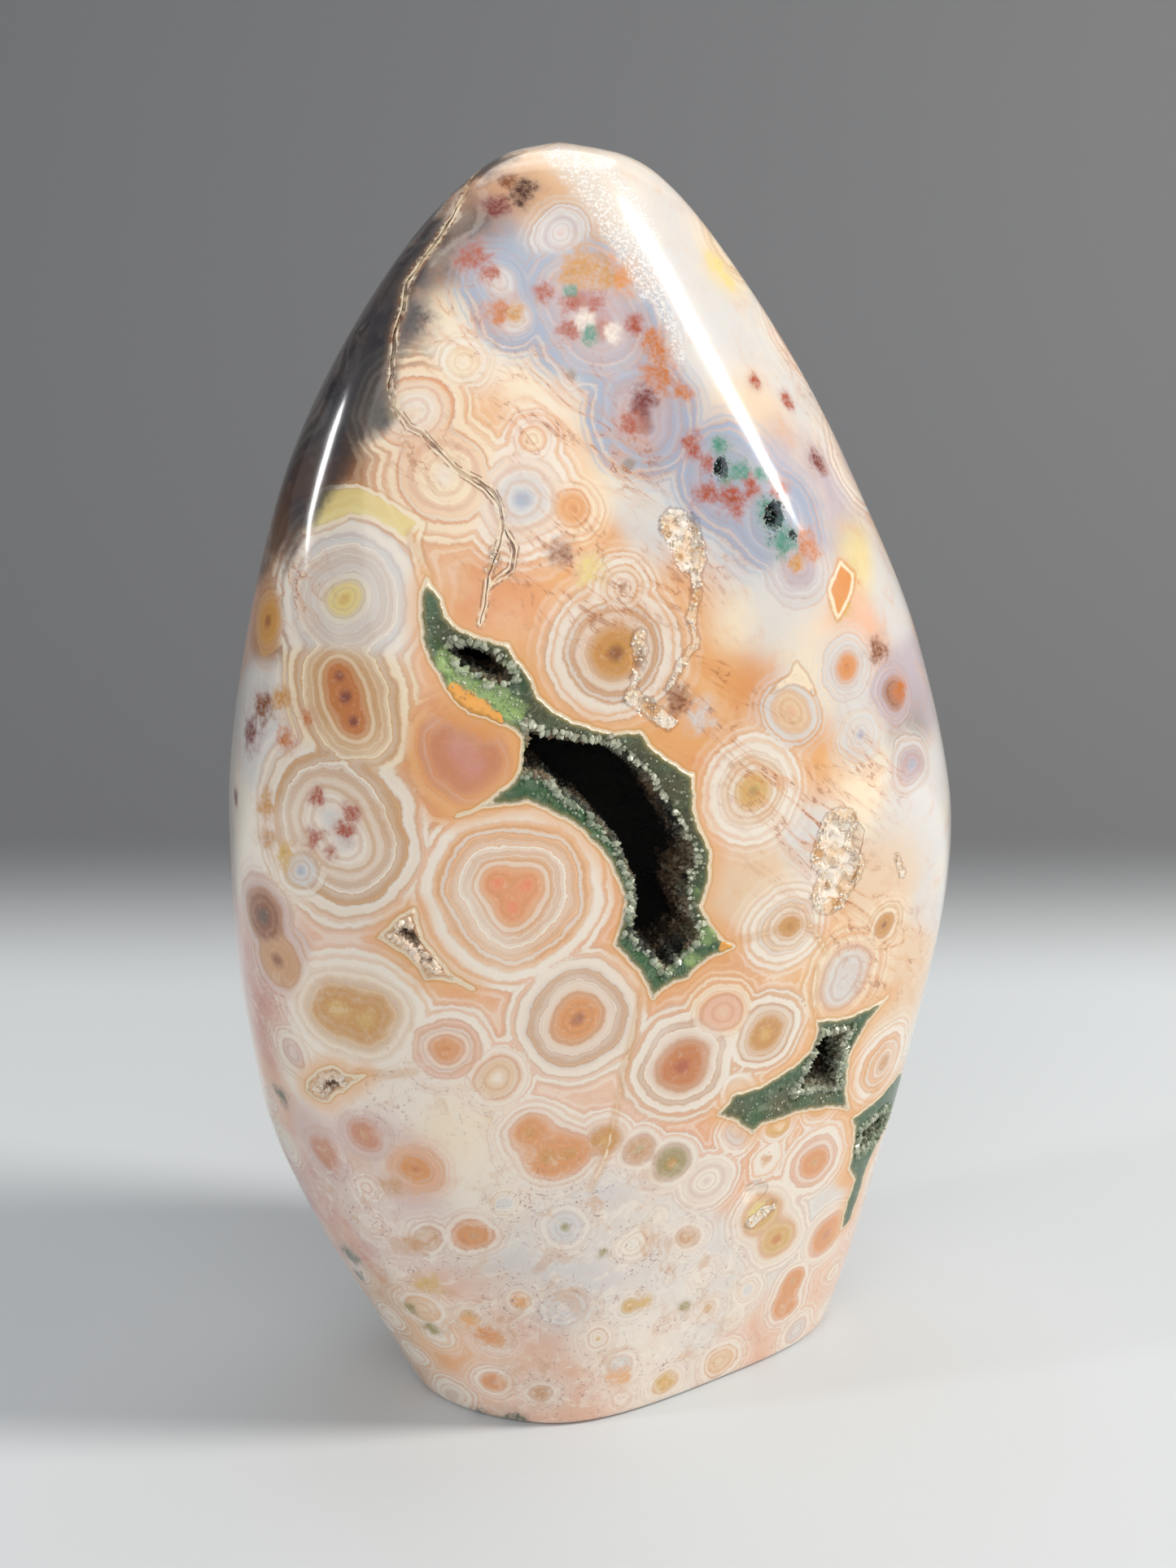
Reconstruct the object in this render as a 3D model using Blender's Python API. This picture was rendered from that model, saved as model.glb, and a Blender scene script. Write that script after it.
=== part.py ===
"""A polished ocean jasper freeform: an upright stone with a flat sawn base and crystal-lined hollows.

The stone stands on z = 0 with the middle of its base at the origin. Its broad face looks towards -Y.
Lengths below are in millimetres, and MM turns them into metres where the meshes are made.
"""

import math

import bpy
import numpy as np
from mathutils import Vector, geometry

MM = 0.001

# Driving sizes of the stone.
HEIGHT = 149.5
BASE_ROUND = 0.9
LEVELS = 40
LEVEL_CROWDING = 1.5
TURNS = 66
WIDEST = 80.0

# Middle of each horizontal section: height, x, y.
AXIS = [(0, 0, 0), (40, -1.5, 0), (80, -3.5, 0), (120, -5.0, 0.5), (HEIGHT, -6.0, 1.5)]

# How far the section reaches from that middle: height, reach.
LEFT = [
    (0, 26.0), (10, 30.5), (25, 37.5), (40, 41.8), (58, 43.0), (75, 42.2),
    (95, 38.8), (112, 35.0), (128, 30.5), (139, 22.5), (145, 14.6), (148.3, 7.2), (HEIGHT, 0),
]
RIGHT = [
    (0, 30.5), (10, 35.2), (25, 39.7), (40, 43.2), (58, 45.5), (75, 44.3),
    (95, 40.0), (112, 34.0), (128, 27.8), (139, 20.5), (145, 13.8), (148.3, 7.0), (HEIGHT, 0),
]
FRONT = [
    (0, 18.2), (20, 20.8), (45, 23.0), (70, 23.5), (95, 21.5),
    (118, 17.0), (135, 12.0), (143, 8.5), (147, 5.7), (149, 2.8), (HEIGHT, 0),
]
BACK = [
    (0, 17.0), (20, 20.0), (45, 22.5), (70, 23.0), (95, 21.5),
    (118, 17.5), (135, 12.5), (143, 9.0), (147, 6.2), (149, 3.0), (HEIGHT, 0),
]

# Exponent of the section's rounded outline: 2 is an ellipse, more is squarer.
SQUARENESS = [(0, 2.0), (12, 2.1), (30, 2.5), (60, 2.8), (110, 2.6), (HEIGHT, 2.0)]

# Ground and polished flats: outward direction, a point on the flat, and how softly its edge is rounded.
FLATS = {
    "upper right shoulder": ((0.61, -0.62, 0.49), (1.9, -8.4, 144.1), 5.0),
    "upper left shoulder": ((-0.78, -0.42, 0.46), (-34.7, -9.0, 123.7), 4.0),
    "lower left flank": ((-0.80, -0.52, -0.30), (-34.0, -13.6, 25.5), 4.0),
    "lower right flank": ((0.80, -0.55, -0.20), (28.5, -19.5, 38.0), 4.0),
    "lower front": ((0.32, -0.93, -0.20), (9.0, -12.9, 0.0), 5.0),
    "back right shoulder": ((0.60, 0.70, 0.40), (12.0, 14.0, 126.0), 7.0),
    "back left shoulder": ((-0.62, 0.66, 0.42), (-20.0, 13.5, 124.0), 7.0),
}

# Hollows. Each has the direction that it faces, the middle of its view, and outlines in that view.
# An outline goes clockwise through its corners: across, up, and the bulge of the arc to the next corner.
# The outer outline is where the crust meets the jasper, and the mouths are open inside the crust.
FACE = (0.0, -1.0, 0.0)
HOLLOWS = {
    "main": {
        "facing": FACE,
        "middle": (0.0, 0.0, 0.0),
        "depth": 17.0,
        "cell": 1.55,
        "outline": [
            (-25.3, 105.3, 0.3), (-23.6, 101.4, -0.7), (-17.3, 98.5, -0.3), (-14.9, 94.8, -0.7),
            (-12.1, 90.9, -0.8), (-3.2, 88.4, -0.6), (2.7, 83.4, -0.8), (4.6, 74.7, 0.3),
            (3.6, 68.5, -0.7), (7.7, 63.1, -0.5), (1.9, 60.0, -0.3), (-1.9, 58.0, -0.5),
            (-6.6, 64.9, -0.5), (-5.3, 70.5, -1.9), (-15.8, 81.6, -0.4), (-23.5, 80.4, -0.5),
            (-17.0, 84.4, -0.4), (-16.3, 88.8, -0.4), (-21.7, 91.3, 0.2), (-24.5, 95.1, 0.3),
            (-26.1, 100.1, 0.3),
        ],
        "mouths": [
            [(-23.0, 98.4, 0.2), (-18.2, 97.0, 0.2), (-19.3, 94.6, -0.3), (-22.4, 96.2, 0.1)],
            [
                (-15.2, 90.0, -0.4), (-11.6, 87.8, 0.3), (-6.3, 86.6, 0.5), (-0.5, 80.0, 0.4),
                (3.0, 73.0, -0.6), (1.8, 68.7, 0.2), (3.2, 64.8, 0.3), (-0.6, 61.0, -0.3),
                (-4.4, 66.2, -0.3), (-3.6, 71.0, -1.2), (-11.0, 82.3, -0.6), (-15.6, 84.9, 0.2),
            ],
        ],
        "mouth_depth": 14.0,
    },
    "right": {
        "facing": FACE,
        "middle": (0.0, 0.0, 0.0),
        "depth": 11.0,
        "cell": 1.4,
        "outline": [
            (6.7, 41.8, -0.1), (8.6, 44.0, -0.9), (18.8, 47.4, -0.5), (19.2, 51.5, -0.9),
            (29.9, 52.0, -0.5), (25.0, 45.7, -0.6), (26.0, 37.0, -0.9), (14.7, 38.9, -0.4),
            (11.7, 38.0, -0.3),
        ],
        "mouths": [
            [(19.7, 49.6, -0.2), (24.6, 48.8, -0.5), (23.9, 40.6, -0.4), (17.0, 41.8, -0.5)],
        ],
        "mouth_depth": 9.0,
    },
    "flank": {
        "facing": (0.83, -0.52, -0.20),
        "middle": (30.5, -9.0, 28.0),
        "depth": 6.5,
        "cell": 1.2,
        "outline": [
            (-6.1, 6.9, 0.3), (-1.5, 8.8, 0.5), (3.0, 10.5, 0.6), (7.5, 7.0, 0.5), (6.0, 2.5, -0.4),
            (2.0, 0.5, -0.4), (0.8, -4.0, 0.2), (0.7, -10.5, 0.3), (-1.2, -11.0, 0.2),
            (-1.6, -3.6, -0.2), (-3.9, -1.1, -0.5),
        ],
        "mouths": [
            [(-3.6, 4.6, 0.4), (1.8, 5.8, 0.4), (3.4, 3.4, 0.2), (-0.4, 0.4, -0.2), (-2.6, 0.8, 0.2)],
        ],
        "mouth_depth": 4.6,
    },
    "spindle": {
        "facing": FACE,
        "middle": (0.0, 0.0, 0.0),
        "depth": 5.0,
        "cell": 0.85,
        "outline": [
            (-28.1, 70.2, -0.4), (-26.3, 65.2, -0.4), (-22.0, 60.9, -0.3),
            (-27.0, 62.4, -0.5), (-31.8, 67.0, 0.3),
        ],
        "mouths": [
            [
                (-28.4, 68.8, -0.2), (-26.6, 64.9, -0.2), (-24.2, 62.2, -0.2),
                (-27.4, 64.0, -0.2), (-30.4, 67.3, 0.1),
            ],
        ],
        "mouth_depth": 3.4,
    },
    "pocket": {
        "facing": (-0.55, -0.83, -0.05),
        "middle": (-37.0, -16.6, 48.5),
        "depth": 4.5,
        "cell": 0.8,
        "outline": [
            (-3.9, -1.7, 0.2), (-2.4, 0.8, 0.2), (-0.4, 2.4, 0.3), (1.4, 1.8, -0.2),
            (4.1, 2.0, -0.2), (1.2, -0.4, -0.2), (-1.0, -2.2, 0.3),
        ],
        "mouths": [[(-2.4, -1.1, 0.1), (-0.6, 1.2, 0.2), (1.7, 1.1, 0.1), (-0.7, -1.3, 0.1)]],
        "mouth_depth": 3.0,
    },
}

# Pits with no crust, and rough broken patches: across, up, radius, stretch in height, depth, corners.
PITS = {
    "teal_pit_1": (7.3, 115.6, 1.0, 1.3, 2.4, 7),
    "teal_pit_2": (13.2, 110.3, 1.3, 1.5, 2.8, 8),
    "teal_pit_3": (15.4, 108.0, 0.6, 1.2, 1.6, 6),
    "rough_patch_top": (2.4, 108.0, 2.2, 1.7, 0.6, 11),
    "rough_patch_neck": (-3.4, 96.0, 1.0, 2.0, 0.5, 8),
    "rough_patch_lip": (-2.8, 91.2, 1.5, 0.9, 0.5, 8),
    "rough_patch_right": (20.4, 71.8, 3.7, 1.45, 0.6, 13),
    "rough_patch_low": (13.0, 29.2, 2.2, 0.85, 0.5, 9),
}

# Cutter and crust sizes.
CUTTER_TOP = 6.0
SEAM = 0.3
WALL_TOP = 1.2
FLOOR_SHARE = 0.86
CRYSTAL = 0.55
RIM_RELIEF = 0.25
FLUSH = 0.05
SEED = 11


def through(knots, height, column=1):
    """Monotone cubic curve through the knots, read at the given heights."""
    at = np.array([knot[0] for knot in knots], float)
    value = np.array([knot[column] for knot in knots], float)
    gap = np.diff(at)
    slope = np.diff(value) / gap
    tangent = np.zeros_like(value)
    tangent[0] = slope[0]
    tangent[-1] = slope[-1]
    for i in range(1, len(at) - 1):
        if slope[i - 1] * slope[i] > 0:
            before = 2 * gap[i] + gap[i - 1]
            after = gap[i] + 2 * gap[i - 1]
            tangent[i] = (before + after) / (before / slope[i - 1] + after / slope[i])
    i = np.clip(np.searchsorted(at, height, side="right") - 1, 0, len(gap) - 1)
    t = np.clip((height - at[i]) / gap[i], 0, 1)
    start = (1 + 2 * t) * (1 - t) ** 2 * value[i] + t * (1 - t) ** 2 * gap[i] * tangent[i]
    end = t * t * (3 - 2 * t) * value[i + 1] + t * t * (t - 1) * gap[i] * tangent[i + 1]
    return start + end


def rounded_max(a, b, softness):
    blend = np.clip(1 - np.abs(a - b) / softness, 0, 1)
    return np.maximum(a, b) + blend * blend * softness / 4


def form(x, y, z):
    """Below zero inside the polished stone, and above zero outside it."""
    z = np.clip(z, 0, HEIGHT - 0.01)
    middle_x = through(AXIS, z, 1)
    middle_y = through(AXIS, z, 2)
    across = np.where(x < middle_x, through(LEFT, z), through(RIGHT, z)) + 1e-6
    deep = np.where(y < middle_y, through(FRONT, z), through(BACK, z)) + 1e-6
    power = through(SQUARENESS, z)
    along_x = np.abs((x - middle_x) / across) ** power
    along_y = np.abs((y - middle_y) / deep) ** power
    value = ((along_x + along_y) ** (1 / power) - 1) * np.minimum(across, deep)
    for normal, point, softness in FLATS.values():
        unit = np.array(normal) / np.linalg.norm(normal)
        flat = (x - point[0]) * unit[0] + (y - point[1]) * unit[1] + (z - point[2]) * unit[2]
        value = rounded_max(value, flat, softness)
    return value


def ring_points(height, turns, inset):
    """Points of the section at one height, one for each turn."""
    middle_x = through(AXIS, height, 1)
    middle_y = through(AXIS, height, 2)
    low = np.zeros(len(turns))
    high = np.full(len(turns), WIDEST)
    for _ in range(40):
        reach = (low + high) / 2
        x = middle_x + reach * np.cos(turns)
        y = middle_y + reach * np.sin(turns)
        inside = form(x, y, np.full(len(turns), height)) < -inset
        low = np.where(inside, reach, low)
        high = np.where(inside, high, reach)
    return [(middle_x + r * math.cos(t), middle_y + r * math.sin(t), height) for r, t in zip(low, turns)]


def link(name, points, faces, smooth=False):
    """A new object from points in millimetres."""
    mesh = bpy.data.meshes.new(name)
    mesh.from_pydata([Vector(point) * MM for point in points], [], faces)
    mesh.validate()
    mesh.update()
    if smooth:
        mesh.shade_smooth()
    made = bpy.data.objects.new(name, mesh)
    bpy.context.scene.collection.objects.link(made)
    return made


def stone_body():
    turns = np.linspace(0, 2 * math.pi, TURNS, endpoint=False)
    share = np.linspace(0, 1, LEVELS)[1:-1]
    heights = HEIGHT * (1 - (1 - share) ** LEVEL_CROWDING)
    points = ring_points(0.0, turns, BASE_ROUND)
    points += ring_points(BASE_ROUND * 0.3, turns, BASE_ROUND * 0.3)
    points += ring_points(BASE_ROUND, turns, 0.0)
    for height in heights[heights > BASE_ROUND * 1.5]:
        points += ring_points(height, turns, 0.0)
    rings = len(points) // TURNS
    sole = len(points)
    points.append((0.0, 0.0, 0.0))
    crown = len(points)
    points.append((AXIS[-1][1], AXIS[-1][2], HEIGHT))
    faces = []
    for k in range(TURNS):
        n = (k + 1) % TURNS
        faces.append((sole, n, k))
        for ring in range(rings - 1):
            low = ring * TURNS
            high = low + TURNS
            faces.append((low + k, low + n, high + n, high + k))
        last = (rings - 1) * TURNS
        faces.append((last + k, last + n, crown))
    return link("stone", points, faces, smooth=True)


class Frame:
    """A flat view of the stone from one side: across, up, and how deep below the polished face."""

    def __init__(self, facing, middle):
        self.out = np.array(facing, float) / np.linalg.norm(facing)
        self.across = np.cross((0.0, 0.0, 1.0), self.out)
        self.across /= np.linalg.norm(self.across)
        self.up = np.cross(self.out, self.across)
        self.middle = np.array(middle, float)

    def place(self, flat, height):
        """Points that stand the given height above the flat view's own plane."""
        flat = np.asarray(flat, float)
        return (
            self.middle
            + flat[:, :1] * self.across
            + flat[:, 1:2] * self.up
            + np.asarray(height, float)[:, None] * self.out
        )

    def face_height(self, flat):
        """Height of the polished face above the plane, for each flat point."""
        steps = np.linspace(60.0, -10.0, 141)
        high = np.full(len(flat), steps[0])
        for step in steps[1:]:
            point = self.place(flat, np.full(len(flat), step))
            outside = form(point[:, 0], point[:, 1], point[:, 2]) > 0
            high = np.where(outside & (high - step < 0.51), step, high)
        low = high - 0.5
        for _ in range(20):
            mid = (low + high) / 2
            point = self.place(flat, mid)
            outside = form(point[:, 0], point[:, 1], point[:, 2]) > 0
            high = np.where(outside, mid, high)
            low = np.where(outside, low, mid)
        return (low + high) / 2


def arcs(corners, step):
    """The closed outline through the corners, in short straight pieces."""
    points = []
    for corner, following in zip(corners, corners[1:] + corners[:1]):
        start = np.array(corner[:2], float)
        run = np.array(following[:2], float) - start
        length = np.linalg.norm(run)
        outward = np.array((-run[1], run[0])) / length
        pieces = max(1, round(length / step))
        for i in range(pieces):
            t = i / pieces
            points.append(start + run * t + outward * corner[2] * 4 * t * (1 - t))
    return np.array(points)


def shrunk(outline, gap):
    """The outline moved inwards, without the corners that a narrow tip has no room for."""
    before = outline - np.roll(outline, 1, axis=0)
    after = np.roll(outline, -1, axis=0) - outline
    before /= np.linalg.norm(before, axis=1)[:, None]
    after /= np.linalg.norm(after, axis=1)[:, None]
    inward = np.stack([before[:, 1] + after[:, 1], -before[:, 0] - after[:, 0]], axis=1)
    inward /= np.maximum(np.linalg.norm(inward, axis=1), 0.2)[:, None]
    moved = outline + inward * gap
    return moved[depth_inside(moved, outline) > 0.8 * gap]


def depth_inside(points, outline):
    """Distance from each point to the outline, negative outside it."""
    start = outline[None, :, :]
    run = np.roll(outline, -1, axis=0)[None, :, :] - start
    offset = points[:, None, :] - start
    share = np.clip((offset * run).sum(-1) / np.maximum((run * run).sum(-1), 1e-12), 0, 1)
    distance = np.linalg.norm(offset - share[..., None] * run, axis=-1).min(axis=1)
    crosses = (start[..., 1] > points[:, None, 1]) != (start[..., 1] + run[..., 1] > points[:, None, 1])
    height = np.where(np.abs(run[..., 1]) < 1e-12, 1e-12, run[..., 1])
    at = start[..., 0] + (points[:, None, 1] - start[..., 1]) * run[..., 0] / height
    inside = ((at > points[:, None, 0]) & crosses).sum(axis=1) % 2 == 1
    return np.where(inside, distance, -distance)


def grid_inside(outline, cell, margin, seed):
    """Slightly uneven grid points inside the outline, and which of them carry a crystal tip."""
    random = np.random.default_rng(seed)
    low = outline.min(axis=0)
    high = outline.max(axis=0)
    rows = int((high[1] - low[1]) / (cell * 0.866)) + 1
    columns = int((high[0] - low[0]) / cell) + 1
    points = []
    tips = []
    for row in range(rows):
        for column in range(columns):
            x = low[0] + (column + 0.5 * (row % 2)) * cell
            y = low[1] + row * cell * 0.866
            points.append((x, y) + random.uniform(-0.16, 0.16, 2) * cell)
            tips.append((column + (row % 2) * 2 + row // 2) % 3 == 0)
    points = np.array(points)
    tips = np.array(tips)
    kept = depth_inside(points, outline) > margin
    return points[kept], tips[kept]


def net(outline, loops, inner):
    """Triangles that fill the outline and use the inner points and the inner loops' edges."""
    points = [Vector(point) for point in outline]
    edges = [(i, (i + 1) % len(outline)) for i in range(len(outline))]
    for loop in loops:
        first = len(points)
        points += [Vector(point) for point in loop]
        edges += [(first + i, first + (i + 1) % len(loop)) for i in range(len(loop))]
    points += [Vector(point) for point in inner]
    found = geometry.delaunay_2d_cdt(points, edges, [], 1, 1e-5)
    flat = np.array([tuple(point) for point in found[0]])
    triangles = [tuple(face) for face in found[2]]
    return flat, triangles


def turned(flat, triangles):
    """The triangles, each one counter-clockwise."""
    result = []
    for a, b, c in triangles:
        area = np.cross(flat[b] - flat[a], flat[c] - flat[a])
        result.append((a, b, c) if area > 0 else (a, c, b))
    return result


def edge_pairs(triangles):
    """The net's outer edges, in the direction that their triangles use them."""
    used = set()
    for a, b, c in triangles:
        used |= {(a, b), (b, c), (c, a)}
    return [pair for pair in used if (pair[1], pair[0]) not in used]


def block_between(name, frame, flat, triangles, top, bottom):
    """A closed solid between two surfaces that share one net."""
    triangles = turned(flat, triangles)
    count = len(flat)
    points = np.concatenate([frame.place(flat, top), frame.place(flat, bottom)])
    faces = [tuple(triangle) for triangle in triangles]
    faces += [(a + count, c + count, b + count) for a, b, c in triangles]
    for a, b in edge_pairs(triangles):
        faces.append((b, a, a + count))
        faces.append((b, a + count, b + count))
    return link(name, [tuple(point) for point in points], faces)


def bowl(inside, half_width, depth):
    """Depth of a rounded bowl with steep sides, by the distance from its rim."""
    share = np.clip(inside / half_width, 0, 1)
    return depth * np.sqrt(np.maximum(1 - (1 - share) ** 2, 0))


def at_points(flat, inner):
    """For each point of a net, the inner point that it is, or -1 where it is on an outline."""
    gap = ((flat[:, None, :] - inner[None, :, :]) ** 2).sum(-1)
    return np.where(gap.min(axis=1) < 1e-8, gap.argmin(axis=1), -1)


def cut(stone, name, frame, outline, inner, inner_depth, rim_depth):
    """Cuts a bowl out of the stone, down from the polished face."""
    flat, triangles = net(outline, [], inner)
    face = frame.face_height(flat)
    which = at_points(flat, inner)
    down = np.where(which >= 0, inner_depth[which], rim_depth)
    cutter = block_between("cut_" + name, frame, flat, triangles, face + CUTTER_TOP, face - down)
    cutter.hide_render = True
    cutter.display_type = "WIRE"
    modifier = stone.modifiers.new(name, "BOOLEAN")
    modifier.operation = "DIFFERENCE"
    modifier.object = cutter


def crust(name, frame, hollow, outline, mouths, inner, tips, half_width):
    """The lining of one hollow: flush with the polished face at its rim, with crystal tips inside."""
    cell = hollow["cell"]
    outer = shrunk(outline, SEAM)
    kept = depth_inside(inner, outer) > 0.35 * cell
    inner = inner[kept]
    tips = tips[kept]
    flat, triangles = net(outer, mouths, inner)
    face = frame.face_height(flat)
    which = at_points(flat, inner)
    is_tip = (which >= 0) & tips[which]
    from_rim = np.maximum(depth_inside(flat, outline), 0)
    in_mouth = np.max([depth_inside(flat, mouth) for mouth in mouths], axis=0)
    reach = max(in_mouth.max(), 1.0)
    down = bowl(np.maximum(in_mouth, 0), reach, hollow["mouth_depth"])
    down = down - np.where(is_tip & (in_mouth > 0), CRYSTAL * cell, 0.0)
    down = down + np.where((in_mouth <= 0) & (which >= 0) & ~is_tip, RIM_RELIEF, FLUSH)
    floor = FLOOR_SHARE * bowl(np.maximum(from_rim - SEAM, 0), half_width, hollow["depth"]) - 1.5 * SEAM
    floor = np.maximum(floor, WALL_TOP - SEAM)
    down = np.minimum(down, floor - 0.5)
    return block_between("crust_" + name, frame, flat, triangles, face - down, face - floor)


def hollow_in(stone, name, hollow):
    """One hollow: its bowl in the stone, and its crust as an object of its own."""
    frame = Frame(hollow["facing"], hollow["middle"])
    cell = hollow["cell"]
    outline = arcs(hollow["outline"], cell)
    mouths = [arcs(corners, cell) for corners in hollow["mouths"]]
    inner, tips = grid_inside(outline, cell, 0.3 * cell, SEED)
    clear = np.ones(len(inner), bool)
    for mouth in mouths:
        clear &= np.abs(depth_inside(inner, mouth)) > 0.35 * cell
    inner = inner[clear]
    tips = tips[clear]
    wall_points = np.concatenate([inner] + mouths)
    inside = depth_inside(wall_points, outline)
    half_width = inside.max()
    depth = np.maximum(bowl(inside, half_width, hollow["depth"]), WALL_TOP)
    cut(stone, name, frame, outline, wall_points, depth, WALL_TOP)
    return crust(name, frame, hollow, outline, mouths, inner, tips, half_width)


def pit_in(stone, name, across, up, radius, stretch, depth, corners):
    """A small pit or a rough broken patch with a faceted floor."""
    random = np.random.default_rng(SEED + round(up * 10))
    turns = -np.linspace(0, 2 * math.pi, corners, endpoint=False) + random.uniform(-0.15, 0.15, corners)
    reach = radius * random.uniform(0.75, 1.15, corners)
    outline = np.stack([across + reach * np.cos(turns), up + stretch * reach * np.sin(turns)], axis=1)
    inner, tips = grid_inside(outline, max(radius * 0.5, 0.55), 0.15 * radius, SEED)
    if len(inner) == 0:
        inner = np.array([(across, up)])
        tips = np.array([False])
    frame = Frame(FACE, (0.0, 0.0, 0.0))
    cut(stone, name, frame, outline, inner, np.where(tips, 0.55 * depth, depth), 0.35 * depth)


def finish(name, colour, roughness):
    """A plain polished or rough surface in one colour."""
    material = bpy.data.materials.new(name)
    material.use_nodes = True
    shader = material.node_tree.nodes["Principled BSDF"]
    shader.inputs["Base Color"].default_value = (*colour, 1.0)
    shader.inputs["Roughness"].default_value = roughness
    shader.inputs["Metallic"].default_value = 0.0
    return material


def clear_scene():
    for thing in list(bpy.data.objects):
        bpy.data.objects.remove(thing, do_unlink=True)


def main():
    clear_scene()
    jasper = finish("polished_jasper", (0.72, 0.43, 0.30), 0.08)
    prase = finish("green_quartz", (0.13, 0.20, 0.10), 0.35)
    quartz = finish("white_quartz", (0.70, 0.62, 0.52), 0.35)
    stone = stone_body()
    stone.data.materials.append(jasper)
    for name, hollow in HOLLOWS.items():
        lining = hollow_in(stone, name, hollow)
        lining.data.materials.append(quartz if name in ("spindle", "pocket") else prase)
    for name, pit in PITS.items():
        pit_in(stone, name, *pit)


main()
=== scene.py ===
"""Looks of a polished ocean jasper freeform: banded orbs, crystal-lined hollows and a gloss polish.

Lengths are in millimetres, and MM turns them into metres where meshes are made.
Places on the broad face are named by the pixel of the 1445 x 1927 photograph where they show.
"""

import math

import bpy
import numpy as np
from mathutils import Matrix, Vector, geometry


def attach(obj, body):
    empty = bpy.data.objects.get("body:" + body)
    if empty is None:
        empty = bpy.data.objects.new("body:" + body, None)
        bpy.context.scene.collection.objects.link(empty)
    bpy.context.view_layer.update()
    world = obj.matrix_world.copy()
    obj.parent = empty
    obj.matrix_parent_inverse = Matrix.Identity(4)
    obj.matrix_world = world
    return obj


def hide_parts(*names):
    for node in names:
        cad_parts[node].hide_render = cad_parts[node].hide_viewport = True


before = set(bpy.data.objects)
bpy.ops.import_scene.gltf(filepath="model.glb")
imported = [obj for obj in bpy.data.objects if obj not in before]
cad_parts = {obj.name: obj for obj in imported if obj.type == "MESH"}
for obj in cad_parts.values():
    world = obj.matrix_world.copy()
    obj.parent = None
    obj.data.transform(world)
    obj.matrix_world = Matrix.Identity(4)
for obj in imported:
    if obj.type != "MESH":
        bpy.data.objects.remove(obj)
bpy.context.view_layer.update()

MM = 0.001

# The stone's form, the same as the solids have.
HEIGHT = 149.5
BASE_ROUND = 0.9
AXIS = [(0, 0, 0), (40, -1.5, 0), (80, -3.5, 0), (120, -5.0, 0.5), (HEIGHT, -6.0, 1.5)]
LEFT = [
    (0, 26.0), (10, 30.5), (25, 37.5), (40, 41.8), (58, 43.0), (75, 42.2),
    (95, 38.8), (112, 35.0), (128, 30.5), (139, 22.5), (145, 14.6), (148.3, 7.2), (HEIGHT, 0),
]
RIGHT = [
    (0, 30.5), (10, 35.2), (25, 39.7), (40, 43.2), (58, 45.5), (75, 44.3),
    (95, 40.0), (112, 34.0), (128, 27.8), (139, 20.5), (145, 13.8), (148.3, 7.0), (HEIGHT, 0),
]
FRONT = [
    (0, 18.2), (20, 20.8), (45, 23.0), (70, 23.5), (95, 21.5),
    (118, 17.0), (135, 12.0), (143, 8.5), (147, 5.7), (149, 2.8), (HEIGHT, 0),
]
BACK = [
    (0, 17.0), (20, 20.0), (45, 22.5), (70, 23.0), (95, 21.5),
    (118, 17.5), (135, 12.5), (143, 9.0), (147, 6.2), (149, 3.0), (HEIGHT, 0),
]
SQUARENESS = [(0, 2.0), (12, 2.1), (30, 2.5), (60, 2.8), (110, 2.6), (HEIGHT, 2.0)]
FLATS = {
    "upper right shoulder": ((0.61, -0.62, 0.49), (1.9, -8.4, 144.1), 5.0),
    "upper left shoulder": ((-0.78, -0.42, 0.46), (-34.7, -9.0, 123.7), 4.0),
    "lower left flank": ((-0.80, -0.52, -0.30), (-34.0, -13.6, 25.5), 4.0),
    "lower right flank": ((0.80, -0.55, -0.20), (28.5, -19.5, 38.0), 4.0),
    "lower front": ((0.32, -0.93, -0.20), (9.0, -12.9, 0.0), 5.0),
    "back right shoulder": ((0.60, 0.70, 0.40), (12.0, 14.0, 126.0), 7.0),
    "back left shoulder": ((-0.62, 0.66, 0.42), (-20.0, 13.5, 124.0), 7.0),
}

# The photograph's camera, seen from the stone.
PHOTO_WIDE = 1445
PHOTO_HIGH = 1927
LONG_SIDE_VIEW = math.radians(45.0)
PITCH = math.radians(16.0)
TURN = math.radians(15.0)
CAMERA_AT = (-59.6, -210.8, 139.0)
FOCAL_PIXELS = PHOTO_HIGH / 2 / math.tan(LONG_SIDE_VIEW / 2)

# Where the search along a line of sight starts and ends, and its step.
RAY_START = 150.0
RAY_END = 300.0
RAY_STEP = 0.4

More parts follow.
